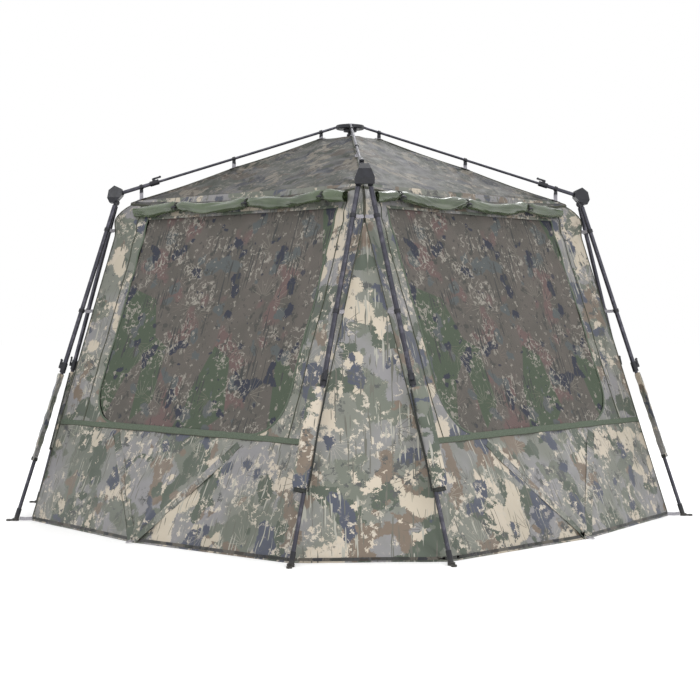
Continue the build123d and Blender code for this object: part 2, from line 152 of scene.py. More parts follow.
# ---------- camera, light and floor ----------
def make_camera():
    data = bpy.data.cameras.new("camera")
    data.sensor_width = 36.0
    data.lens = camera_lens
    camera = bpy.data.objects.new("camera", data)
    bpy.context.scene.collection.objects.link(camera)
    camera.location = camera_place
    camera.rotation_mode = "QUATERNION"
    camera.rotation_quaternion = Vector(camera_forward).to_track_quat("-Z", "Y")
    data.clip_end = 60.0
    bpy.context.scene.camera = camera


def area_light(name, place, target, size, power):
    data = bpy.data.lights.new(name, "AREA")
    data.shape = "DISK"
    data.size = size
    data.energy = power
    light = bpy.data.objects.new(name, data)
    bpy.context.scene.collection.objects.link(light)
    light.location = place
    direction = Vector(target) - Vector(place)
    light.rotation_mode = "QUATERNION"
    light.rotation_quaternion = direction.to_track_quat("-Z", "Y")


def make_studio():
    world = bpy.data.worlds.new("studio")
    world.use_nodes = True
    background = world.node_tree.nodes["Background"]
    background.inputs["Color"].default_value = (1.0, 1.0, 1.0, 1.0)
    background.inputs["Strength"].default_value = 1.0
    bpy.context.scene.world = world
    bpy.context.scene.view_settings.view_transform = "Standard"
    area_light("key", (2.5, -3.5, 7.0), (0, 0, 1.2), 4.0, 130.0)
    area_light("fill", (8.0, -1.0, 4.0), (0, 0, 0.9), 4.0, 60.0)
    area_light("top", (-1.5, 3.5, 7.0), (0, 0, 1.4), 4.0, 240.0)
    bpy.ops.mesh.primitive_plane_add(size=60.0, location=(0, 0, 0))
    floor = bpy.context.object
    floor.name = "floor"
    glow = {"Emission Color": (1.0, 1.0, 1.0, 1.0), "Emission Strength": 0.02}
    pale = Graph("studio_floor").surface((0.985, 0.985, 0.985, 1.0), 0.9, 0.0, **glow)
    floor.data.materials.append(pale)


# ---------- materials ----------
class Graph:
    """A material's node tree, built a node at a time."""

    def __init__(self, name):
        self.material = bpy.data.materials.new(name)
        self.material.use_nodes = True
        self.tree = self.material.node_tree
        self.tree.nodes.clear()

    def node(self, kind, inputs=None, **settings):
        made = self.tree.nodes.new(kind)
        for key, value in settings.items():
            setattr(made, key, value)
        for key, value in (inputs or {}).items():
            if isinstance(value, bpy.types.NodeSocket):
                self.tree.links.new(value, made.inputs[key])
            else:
                made.inputs[key].default_value = value
        return made

    def math(self, operation, first, second=0.0, third=0.0):
        values = {0: first, 1: second, 2: third}
        if operation in ("ABSOLUTE", "SINE", "FLOOR", "FRACT"):
            values = {0: first}
        elif operation != "MULTIPLY_ADD":
            values = {0: first, 1: second}
        return self.node("ShaderNodeMath", values, operation=operation).outputs[0]

    def vector(self, operation, first, second=(0.0, 0.0, 0.0)):
        made = self.node("ShaderNodeVectorMath", {0: first, 1: second}, operation=operation)
        return made.outputs["Value"] if operation in ("LENGTH", "DOT_PRODUCT") else made.outputs["Vector"]

    def cloth(self):
        """The cloth's own flat coordinates, in metres, with a third number for each panel."""
        return self.node("ShaderNodeAttribute", attribute_name="cloth").outputs["Vector"]

    def place(self):
        return self.node("ShaderNodeTexCoord").outputs["Object"]

    def noise(self, vector, scale, detail=2.0, roughness=0.5, colour=False, distortion=0.0):
        inputs = {"Vector": vector, "Scale": scale, "Detail": detail}
        inputs.update({"Roughness": roughness, "Distortion": distortion})
        made = self.node("ShaderNodeTexNoise", inputs)
        return made.outputs["Color" if colour else "Fac"]

    def step(self, value, low, high, start=0.0, end=1.0):
        inputs = {"Value": value, "From Min": low, "From Max": high, "To Min": start, "To Max": end}
        return self.node("ShaderNodeMapRange", inputs, clamp=True).outputs["Result"]

    def mix(self, share, first, second):
        """A colour mix; the colour sockets of this node are its inputs 6 and 7 and its output 2."""
        return self.node("ShaderNodeMix", {0: share, 6: first, 7: second}, data_type="RGBA").outputs[2]

    def layers(self, colour, masks_and_colours):
        """Paints each colour over the ones before it, where its mask is 1."""
        for mask, painted in masks_and_colours:
            colour = self.mix(mask, colour, painted)
        return colour

    def stretched(self, vector, scale, turn=0.0):
        inputs = {"Vector": vector, "Rotation": (0, 0, turn), "Scale": scale}
        return self.node("ShaderNodeMapping", inputs).outputs["Vector"]

    def parts(self, vector):
        return self.node("ShaderNodeSeparateXYZ", {0: vector}).outputs

    def cells(self, vector, scale, randomness):
        inputs = {"Vector": vector, "Scale": scale, "Randomness": randomness}
        return self.node("ShaderNodeTexVoronoi", inputs, voronoi_dimensions="2D").outputs

    def waves(self, vector, rate):
        """Two sines across each other, one for each direction of the threads."""
        parts = self.parts(vector)
        return [self.math("SINE", self.math("MULTIPLY", parts[axis], rate)) for axis in ("X", "Y")]

    def brightness(self, value, colour):
        return self.node("ShaderNodeHueSaturation", {"Value": value, "Color": colour}).outputs[0]

    def bump(self, height, strength, distance, normal=None):
        inputs = {"Height": height, "Strength": strength, "Distance": distance}
        if normal is not None:
            inputs["Normal"] = normal
        return self.node("ShaderNodeBump", inputs).outputs["Normal"]

    def surface(self, colour, roughness, specular=None, normal=None, sheen=None, **others):
        """Ends the tree with its shader and gives back the material; what is None keeps its default."""
        inputs = {"Base Color": colour, "Roughness": roughness, "Specular IOR Level": specular}
        inputs.update({"Normal": normal, "Sheen Weight": sheen, **others})
        given = {key: value for key, value in inputs.items() if value is not None}
        shader = self.node("ShaderNodeBsdfPrincipled", given)
        output = self.node("ShaderNodeOutputMaterial")
        self.tree.links.new(shader.outputs[0], output.inputs[0])
        return self.material


def ragged(graph, vector, amount, scale):
    """Jitters the coordinates, so that every edge drawn from them is torn and speckled."""
    middle = (0.5, 0.5, 0.5)
    jitter = graph.noise(vector, scale, 3.0, 0.72, colour=True)
    centred = graph.vector("SUBTRACT", jitter, middle)
    torn = graph.vector("ADD", vector, graph.vector("MULTIPLY", centred, (amount, amount, 0.0)))
    fine = graph.vector("SUBTRACT", graph.noise(vector, scale * 4.5, 1.0, 0.5, colour=True), middle)
    return graph.vector("ADD", torn, graph.vector("MULTIPLY", fine, (amount * 0.5, amount * 0.5, 0.0)))


def blotches(graph, vector, offset, scale, level, detail=3.0, roughness=0.55, edge=0.004):
    """Patches of a noise above a level: 1 inside them and 0 outside."""
    field = graph.noise(graph.vector("ADD", vector, (*offset, 0.0)), scale, detail, roughness)
    return graph.step(field, level, level + edge)


def curls(graph, vector, offset, scale, width):
    """Thin closed loops, the lines where a noise passes its middle value."""
    field = graph.noise(graph.vector("ADD", vector, (*offset, 0.0)), scale, 1.5, 0.5)
    away = graph.math("ABSOLUTE", graph.math("SUBTRACT", field, 0.5))
    return graph.step(away, width, width * 0.6)


def fans(graph, vector, offset, scale, rays, width, chance, strength):
    """Bunches of straight thin strokes that spread from scattered points, like dry grass."""
    moved = graph.vector("ADD", vector, (*offset, 0.0))
    cells = graph.cells(moved, scale, 0.8)
    delta = graph.vector("SUBTRACT", moved, cells["Position"])
    parts = graph.parts(delta)
    angle = graph.math("ARCTAN2", parts["Y"], parts["X"])
    shade = graph.node("ShaderNodeSeparateColor", {0: cells["Color"]}).outputs
    turn = graph.math("MULTIPLY", shade[0], 6.283)
    spread = graph.math("SINE", graph.math("MULTIPLY_ADD", angle, rays, turn))
    radius = graph.vector("LENGTH", graph.vector("MULTIPLY", delta, (1.0, 1.0, 0.0)))
    across = both(graph, graph.math("ABSOLUTE", spread), radius)
    line = graph.step(across, width * rays, width * rays * 0.6)
    short = graph.step(radius, 0.42 / scale, 0.36 / scale)
    hollow = graph.step(radius, 0.04 / scale, 0.08 / scale)
    sector = graph.step(graph.math("SINE", graph.math("ADD", angle, turn)), 0.15, 0.25)
    chosen = graph.step(shade[1], chance, chance - 0.01)
    mask = both(graph, both(graph, line, short), both(graph, sector, chosen))
    return graph.math("MULTIPLY", both(graph, mask, hollow), strength)


def reeds(graph, vector, offset, turn, length_scale, width_scale, level):
    """Long thin slivers that all lean one way."""
    moved = graph.vector("ADD", vector, (*offset, 0.0))
    turned = graph.stretched(moved, (width_scale, length_scale, 1), turn)
    return graph.step(graph.noise(turned, 1.0, 1.0, 0.4), level, level + 0.01)


def both(graph, first, second):
    return graph.math("MULTIPLY", first, second)


def weave(graph, vector, threads, strength):
    """A plain weave's bump, with soft creases under it."""
    across, down = graph.waves(vector, threads)
    soft = graph.bump(graph.noise(vector, 14.0, 4.0, 0.55), 0.35, 0.006)
    return graph.bump(both(graph, across, down), strength, 0.0002, soft)


def print_base(graph, vector, offset, size):
    """The print's coordinates, at its real size."""
    return graph.vector("MULTIPLY", graph.vector("ADD", vector, (*offset, 0.0)), (size, size, 1.0))


def camo_fabric(name, shade, roughness, seed, size=1.55, sheen=0.10, shine=0.45):
    """Printed woven polyester: grey ground, cream, brown, green and navy patches, and dry grass strokes."""
    graph = Graph(name)
    base = graph.cloth()
    flat = print_base(graph, base, (seed, seed * 0.7), size)
    torn = ragged(graph, flat, 0.050, 26.0)

    # shade scales the whole print; the canopy's copy at 0.58 is painted shade, and the hem bands' copy at 0.5
    # is partly painted shadow.
    def tone(red, green, blue):
        middle = (red + green + blue) / 3.0
        return srgb(*[(part * 0.86 + middle * 0.14) * shade * 0.79 for part in (red, green, blue)])

    def patch(*numbers, vector=torn):
        return blotches(graph, vector, *numbers)

    def specks_in(field, specks):
        return both(graph, patch(*field, vector=flat), specks)

    ground = graph.step(graph.noise(torn, 2.1, 3.0, 0.5), 0.42, 0.58)
    cream_specks = patch((0.6, 1.7), 22.0, 0.575, 3.0, 0.7, 0.01)
    dark_specks = patch((4.6, 6.7), 17.0, 0.580, 3.0, 0.7, 0.01)
    twigs = curls(graph, torn, (2.0, 5.0), 9.0, 0.012)
    lean_left = reeds(graph, flat, (0.0, 0.0), 0.7, 5.0, 60.0, 0.655)
    masks_and_colours = [
        (patch((3.1, 0.4), 2.6, 0.560), tone(122, 128, 114)),
        (patch((7.7, 2.3), 3.3, 0.590), tone(138, 121, 104)),
        (patch((9.4, 4.7), 3.7, 0.585, 2.0, 0.5), tone(92, 103, 88)),
        (patch((1.9, 5.2), 3.4, 0.590, 5.0, 0.66), tone(228, 213, 190)),
        (patch((8.9, 6.2), 3.0, 0.650, 1.5, 0.5), tone(222, 208, 184)),
        (patch((5.3, 8.1), 4.0, 0.615, 2.0, 0.45), tone(84, 90, 108)),
        (specks_in(((2.2, 9.9), 2.4, 0.49, 2.0, 0.5, 0.06), cream_specks), tone(226, 214, 194)),
        (specks_in(((6.6, 3.3), 3.0, 0.51, 2.0, 0.5, 0.06), dark_specks), tone(92, 94, 92)),
        (specks_in(((3.7, 3.9), 2.2, 0.54, 2.0, 0.5, 0.04), twigs), tone(222, 210, 190)),
        (specks_in(((8.2, 7.1), 2.0, 0.50, 2.0, 0.5, 0.04), lean_left), tone(190, 188, 174)),
        (reeds(graph, flat, (3.0, 1.0), -0.9, 5.4, 66.0, 0.66), tone(116, 116, 104)),
        (fans(graph, flat, (1.3, 2.9), 3.4, 9.0, 0.0016, 0.4, 0.55), tone(206, 199, 180)),
        (fans(graph, flat, (4.9, 0.9), 3.0, 7.0, 0.0022, 0.45, 0.8), tone(100, 100, 88)),
    ]
    colour = graph.layers(graph.mix(ground, tone(156, 154, 156), tone(139, 142, 130)), masks_and_colours)
    dirt = graph.step(graph.noise(graph.place(), 1.3, 3.0, 0.6), 0.35, 0.7, 0.92, 1.06)
    gloss = graph.step(graph.noise(flat, 9.0, 3.0, 0.6), 0.3, 0.7, roughness - 0.08, roughness + 0.08)
    normal = weave(graph, base, 2600.0, 0.25)
    return graph.surface(graph.brightness(dirt, colour), gloss, shine, normal, sheen)


def mesh_fabric(name):
    """Printed insect mesh: the same kind of print, darkened with painted shade of the dim inside that shows
    through the real mesh.
    """
    graph = Graph(name)
    base = graph.cloth()
    flat = print_base(graph, base, (2.37, 1.15), 1.45)
    torn = ragged(graph, flat, 0.040, 30.0)

    def tone(red, green, blue):
        # Every print colour is darkened: painted shade of the inside.
        return srgb(red * 0.83, green * 0.83, blue * 0.85)

    def patch(*numbers, vector=torn):
        return blotches(graph, vector, *numbers)

    ground = graph.step(graph.noise(torn, 3.0, 2.0, 0.5), 0.42, 0.6)
    cells = graph.cells(graph.stretched(flat, (1.0, 0.62, 1.0), 0.5), 3.2, 0.9)
    green = graph.step(graph.node("ShaderNodeSeparateColor", {0: cells["Color"]}).outputs[0], 0.70, 0.71)
    loop_field = patch((2.9, 6.3), 3.2, 0.520, 2.0, 0.5, 0.05, vector=flat)
    dark_field = patch((5.5, 9.1), 3.4, 0.50, 2.0, 0.5, 0.03, vector=flat)
    dark_reeds = reeds(graph, flat, (1.0, 2.0), -0.6, 5.0, 60.0, 0.60)
    dark_specks = patch((2.8, 4.4), 16.0, 0.60, 3.0, 0.7, 0.01)
    masks_and_colours = [
        (patch((3.3, 1.1), 3.6, 0.565, 2.0, 0.5, 0.05), tone(120, 101, 96)),
        (green, tone(87, 99, 80)),
        (patch((6.2, 5.8), 5.0, 0.610, 2.0, 0.5), tone(100, 105, 103)),
        (patch((8.8, 2.2), 5.6, 0.630, 1.5, 0.45), tone(62, 65, 76)),
        (patch((1.8, 7.6), 11.0, 0.70, 1.5, 0.5, vector=flat), tone(66, 68, 76)),
        (both(graph, loop_field, curls(graph, torn, (0.0, 0.0), 18.0, 0.030)), tone(172, 167, 153)),
        (patch((7.0, 0.8), 24.0, 0.640, 2.0, 0.6, 0.01), tone(158, 153, 140)),
        (both(graph, dark_field, dark_reeds), tone(78, 79, 76)),
        (both(graph, dark_specks, graph.step(green, 1.0, 0.0)), tone(84, 84, 78)),
        (fans(graph, flat, (0.4, 1.9), 3.6, 10.0, 0.0014, 0.5, 0.55), tone(150, 136, 124)),
        (fans(graph, flat, (5.1, 3.7), 3.2, 8.0, 0.0018, 0.4, 0.65), tone(158, 154, 138)),
    ]
    colour = graph.layers(graph.mix(ground, tone(104, 100, 92), tone(113, 107, 99)), masks_and_colours)
    thread = graph.math("MAXIMUM", *graph.waves(base, 4200.0))
    # The gaps between the threads are painted darker than the threads (0.82 against 1.03): painted shade of
    # the inside seen through them.
    painted_shade_in_holes = graph.step(thread, -0.2, 0.5, 0.82, 1.03)
    soft = graph.bump(graph.noise(base, 9.0, 3.0, 0.5), 0.3, 0.006)
    return graph.surface(graph.brightness(painted_shade_in_holes, colour), 0.72, 0.28, graph.bump(thread, 0.3, 0.0002, soft))


def coated_fabric(name):
    """The storm panels' inside: a shiny green coating with fine streaks and creases."""
    graph = Graph(name)
    base = graph.cloth()
    tone = graph.noise(base, 5.0, 3.0, 0.55)
    colour = graph.mix(graph.step(tone, 0.35, 0.65), srgb(48, 60, 38), srgb(70, 84, 56))
    streaks = graph.noise(graph.stretched(base, (3.0, 60.0, 1.0)), 1.0, 2.0, 0.5)
    colour = graph.mix(graph.step(streaks, 0.60, 0.74), colour, srgb(92, 100, 80))
    wrinkle = graph.noise(graph.stretched(base, (7.0, 46.0, 1.0)), 1.0, 4.0, 0.6, distortion=0.6)
    coat = {"Coat Weight": 0.6, "Coat Roughness": 0.14}
    gloss = graph.step(tone, 0.3, 0.7, 0.18, 0.30)
    return graph.surface(colour, gloss, 0.6, graph.bump(wrinkle, 0.5, 0.006), **coat)


def ribbon_material(name, colour, dark, ribs):
    """Woven tape with ribs across it and a fine fleck."""
    graph = Graph(name)
    base = graph.cloth()
    rib = graph.math("SINE", graph.math("MULTIPLY", graph.parts(base)["X"], ribs))
    fleck = graph.noise(base, 160.0, 2.0, 0.6)
    tone = graph.mix(graph.step(fleck, 0.3, 0.7), dark, colour)
    return graph.surface(tone, 0.7, 0.3, graph.bump(rib, 0.5, 0.0006))


def moulded_plastic(name, colour, worn, roughness):
    graph = Graph(name)
    place = graph.place()
    grain = graph.noise(place, 900.0, 2.0, 0.6)
    tone = graph.mix(graph.step(graph.noise(place, 35.0, 4.0, 0.6), 0.45, 0.75), colour, worn)
    gloss = graph.step(graph.noise(place, 60.0, 3.0, 0.6), 0.3, 0.7, roughness - 0.07, roughness + 0.09)
    return graph.surface(tone, gloss, 0.5, graph.bump(grain, 0.18, 0.0004))


def tube_shader(graph):
    """Dark anodised tube with fine lengthwise draw marks and rubbed patches."""
    place = graph.place()
    marks = graph.noise(graph.stretched(place, (900.0, 900.0, 12.0)), 1.0, 2.0, 0.5)
    rubbed = graph.step(graph.noise(place, 26.0, 4.0, 0.65), 0.5, 0.78)
    colour = graph.mix(rubbed, srgb(72, 72, 80), srgb(110, 108, 118))
    roughness = graph.step(graph.noise(place, 40.0, 3.0, 0.6), 0.3, 0.7, 0.26, 0.42)
    return colour, roughness, graph.bump(marks, 0.06, 0.0003)


def tube_metal(name):
    graph = Graph(name)
    colour, roughness, normal = tube_shader(graph)
    return graph.surface(colour, roughness, normal=normal, Metallic=0.85)


def distance_along(graph, start, end):
    """How far a point is along a pole, and its height; it folds all the mirrored poles on to one."""
    parts = graph.parts(graph.place())
    first = graph.math("ABSOLUTE", parts["X"])
    second = graph.math("ABSOLUTE", parts["Y"])
    near = graph.math("MINIMUM", first, second)
    far = graph.math("MAXIMUM", first, second)
    spots = [((x - y) * HALF_TURN, (x + y) * HALF_TURN, z) for x, y, z in (start, end)]
    top, bottom = np.array(spots)
    length = float(np.linalg.norm(bottom - top))
    folded = graph.node("ShaderNodeCombineXYZ", {0: near, 1: far, 2: parts["Z"]}).outputs[0]
    from_top = graph.vector("ADD", folded, tuple(-top))
    return graph.vector("DOT_PRODUCT", from_top, tuple((bottom - top) / length)), parts["Z"]


def part_plastic(name, start, end, spans):
    """A tube whose node also holds moulded fittings: plastic inside the given spans along the pole."""
    graph = Graph(name)
    colour, roughness, normal = tube_shader(graph)
    along, z = distance_along(graph, start, end)
    is_plastic = None
    for low, high in spans:
        inside = both(graph, graph.step(along, low, low + 0.0004), graph.step(along, high, high - 0.0004))
        is_plastic = inside if is_plastic is None else graph.math("MAXIMUM", is_plastic, inside)
    grime = graph.mix(graph.step(z, 0.035, 0.0), srgb(24, 25, 32), srgb(58, 56, 52))
    colour = graph.mix(is_plastic, colour, grime)
    roughness = graph.math("MAXIMUM", roughness, graph.math("MULTIPLY", is_plastic, 0.5))
    metal = graph.step(is_plastic, 0.0, 1.0, 0.85, 0.0)
    return graph.surface(colour, roughness, normal=normal, Metallic=metal)


def bare_steel(name):
    graph = Graph(name)
    tone = graph.mix(graph.noise(graph.place(), 80.0, 3.0, 0.6), srgb(120, 120, 124), srgb(176, 176, 180))
    return graph.surface(tone, 0.32, Metallic=1.0)


def make_materials():
    return {
        "wall": camo_fabric("camo_wall_fabric", 1.04, 0.50, 0.0),
        "corner": camo_fabric("camo_corner_fabric", 1.10, 0.50, 4.3),
        # The canopy's copy of the wall print is made much darker (0.58 against 1.04): painted shade.
        "roof": camo_fabric("camo_roof_fabric_painted_shade", 0.58, 0.56, 11.7, 2.1, 0.0, 0.22),
        "mesh": mesh_fabric("printed_insect_mesh"),
        "roll": coated_fabric("coated_storm_fabric"),
        "tape": ribbon_material("green_zip_tape", srgb(96, 106, 92), srgb(78, 88, 74), 2200.0),
        "piping": ribbon_material("olive_piping", srgb(84, 86, 74), srgb(62, 64, 54), 3000.0),
        "webbing": ribbon_material("grey_webbing", srgb(176, 174, 180), srgb(138, 136, 142), 2600.0),
        "tie": ribbon_material("dark_tie_tape", srgb(58, 60, 56), srgb(36, 38, 38), 2600.0),
        "plastic": moulded_plastic("moulded_navy_plastic", srgb(22, 23, 30), srgb(38, 39, 48), 0.40),
        "lever": moulded_plastic("moulded_lever_plastic", srgb(28, 29, 36), srgb(46, 47, 56), 0.38),
        "tube": tube_metal("dark_anodised_tube"),
        "arm_outer": part_plastic("arm_tube_and_collar", hub_hinge, knuckle, [(0.9684, 1.0166)]),
        "upper_leg": part_plastic("leg_tube_and_collar", pivot, foot, [(-0.05, 0.019), (0.8670, 0.9192)]),
        "lower": part_plastic("leg_tube_and_foot", pivot, foot, [(1.6216, 1.80)]),
        # The hem bands' half-bright copy of the print: partly the binding's own tone, partly painted shadow
        # of the dark line along the hem.
        "hem": camo_fabric("hem_binding_and_painted_shadow", 0.5, 0.6, 6.1),
        "steel": bare_steel("bare_steel_pin"),
    }


# ---------- cloth shapes ----------
def smooth(value):
    share = np.clip(value, 0.0, 1.0)
    return share * share * (3.0 - 2.0 * share)


def crumple(x, y, seed, size):
    """A soft uneven surface of about one unit high, from a few crossing waves of about the given size."""
    rng = np.random.RandomState(seed)
    total = np.zeros_like(x + y)
    for index in range(7):
        turn = rng.uniform(0, math.pi)
        rate = 2 * math.pi / size * rng.uniform(0.6, 1.7)
        phase = rng.uniform(0, 2 * math.pi)
        bend = 0.8 * np.sin(2 * math.pi / (size * 2.3) * (x * math.sin(turn) + y * math.cos(turn)) + index)
        total = total + np.sin(rate * (x * math.cos(turn) + y * math.sin(turn)) + phase + bend)
    return total / 3.5


def folds_from(x, y, centre, reach, count, phase):
    """Tension folds that spread from a point where the cloth is pulled."""
    dx = x - centre[0]
    dy = y - centre[1]
    radius = np.hypot(dx, dy)
    angle = np.arctan2(dy, dx)
    return np.exp(-radius / reach) * smooth(radius / 0.09) * np.sin(count * angle + phase)


def seam_radial(z):
    """How far out the corner seam runs: straight up from the hem, over the shoulder, in to the eave."""
    spread = np.linspace(-0.022, 0.022, 7)
    return np.mean([np.interp(z + shift, seam_heights, seam_radials) for shift in spread], axis=0)


def seam_side(z):
    """Half the width of the corner panel at height z."""
    return hem_side * np.clip(1.0 - z / shoulder_split_z, 0.0, 1.0) + 0.0015


def seam_out(z):
    return (seam_radial(z) + seam_side(z)) * HALF_TURN


def seam_along(z):
    return (seam_radial(z) - seam_side(z)) * HALF_TURN


def plane_out(z):
    return eave_out + lean * (eave_z - z)


def wall_bulge(along, z, seed):
    """How far the upper wall stands out of its plane: shoulder pull, slack and folds."""
    share = np.abs(along) / seam_along(z)
    pull = (seam_out(z) - plane_out(z)) * smooth((share - 0.74) / 0.26)
    side = np.abs(along)
    slack = 0.0035 * crumple(along, z, seed, 0.55) + 0.0012 * crumple(along, z, seed + 5, 0.14)
    slack = slack + 0.010 * folds_from(side, z, (0.86, 1.50), 0.20, 11.0, seed)
    slack = slack + 0.006 * folds_from(side, z, (0.90, 0.30), 0.25, 9.0, seed + 1)
    slack = slack + 0.004 * np.sin(along * 24.0 + seed) * smooth((0.75 - z) / 0.4)
    free = smooth((1.0 - share) / 0.05) * smooth((eave_z - z) / 0.05)
    return pull + slack * free


def wall_points(along, z, seed):
    return plane_out(z) + wall_bulge(along, z, seed)


def lower_out(along, z, seed):
    """The skirt below the zip: a gusset pulled out to the peg loop, and a ruled panel on each side."""
    fold = np.maximum(gusset_half * z / sill_z, 0.004)
    gusset = plane_out(sill_z) + (peg_out - plane_out(sill_z)) * (1.0 - z / sill_z)
    side = np.abs(along)
    reach = np.maximum(seam_along(z) - fold, 0.001)
    share = np.clip((side - fold) / reach, 0.0, 1.0)
    out = gusset + (seam_out(z) - gusset) * share
    slack = 0.006 * crumple(along, z, seed + 9, 0.30) + 0.0025 * crumple(along, z, seed + 11, 0.11)
    slack = slack + 0.009 * folds_from(side, z, (0.89, 0.0), 0.22, 10.0, seed)
    slack = slack + 0.008 * folds_from(side, z, (0.0, 0.0), 0.20, 12.0, seed + 2)
    slack = slack + 0.004 * folds_from(side, z, (0.45, 0.47), 0.16, 9.0, seed + 3)
    free = smooth((1.0 - share) / 0.06) * smooth((sill_z - z) / 0.06 + 0.25) * smooth(z / 0.05 + 0.15)
    crease = 1.0 - 0.8 * np.exp(-(((side - fold) / 0.018) ** 2))
    return out + slack * free * crease


def on_wall(azimuth, out, along, z):
    """Points of a wall, or of a corner's diagonal, as an array with a last axis of x, y, z."""
    turn = math.radians(azimuth)
    x = out * math.cos(turn) - along * math.sin(turn)
    y = out * math.sin(turn) + along * math.cos(turn)
    return np.stack([x, y, z + 0.0 * x], axis=-1)


def unit(vectors):
    length = np.linalg.norm(vectors, axis=-1, keepdims=True)
    return vectors / np.maximum(length, 1e-9)


def surface_of(place, u, v, outward):
    """Points of the surface place(u, v), and its normals on the outward side."""
    reach = 0.0015
    across = place(u + reach, v) - place(u - reach, v)
    down = place(u, v + reach) - place(u, v - reach)
    normals = unit(np.cross(across, down))
    if float(normals.mean(axis=(0, 1)) @ np.asarray(outward)) < 0:
        normals = -normals
    return place(u, v), normals


def wall_surface(azimuth, out_of, seed):
    """A surface for surface_of, whose distance out is out_of(along, z, seed)."""

    def place(along, height):
        return on_wall(azimuth, out_of(along, height, seed), along, height)

    return place


def path_lengths(path):
    """The distance of each point of a path from the path's start."""
    return np.concatenate([[0.0], np.cumsum(np.linalg.norm(np.diff(path, axis=0), axis=1))])


def repeated(vector, count):
    return np.repeat([vector], count, axis=0)


def circle_angles(count):
    return 2 * math.pi * np.arange(count) / count


def face_toward(points, ring, direction):
    """The ring of point numbers, turned so that its face looks along the direction."""
    made = np.cross(points[ring[1]] - points[ring[0]], points[ring[2]] - points[ring[1]])
    return ring[::-1] if np.dot(made, direction) < 0 else ring


def tube_faces(count, sides):
    """The four point numbers of each side face of a tube of rings."""
    for i in range(count - 1):
        for j in range(sides):
            k = (j + 1) % sides
            yield [i * sides + j, i * sides + k, (i + 1) * sides + k, (i + 1) * sides + j]


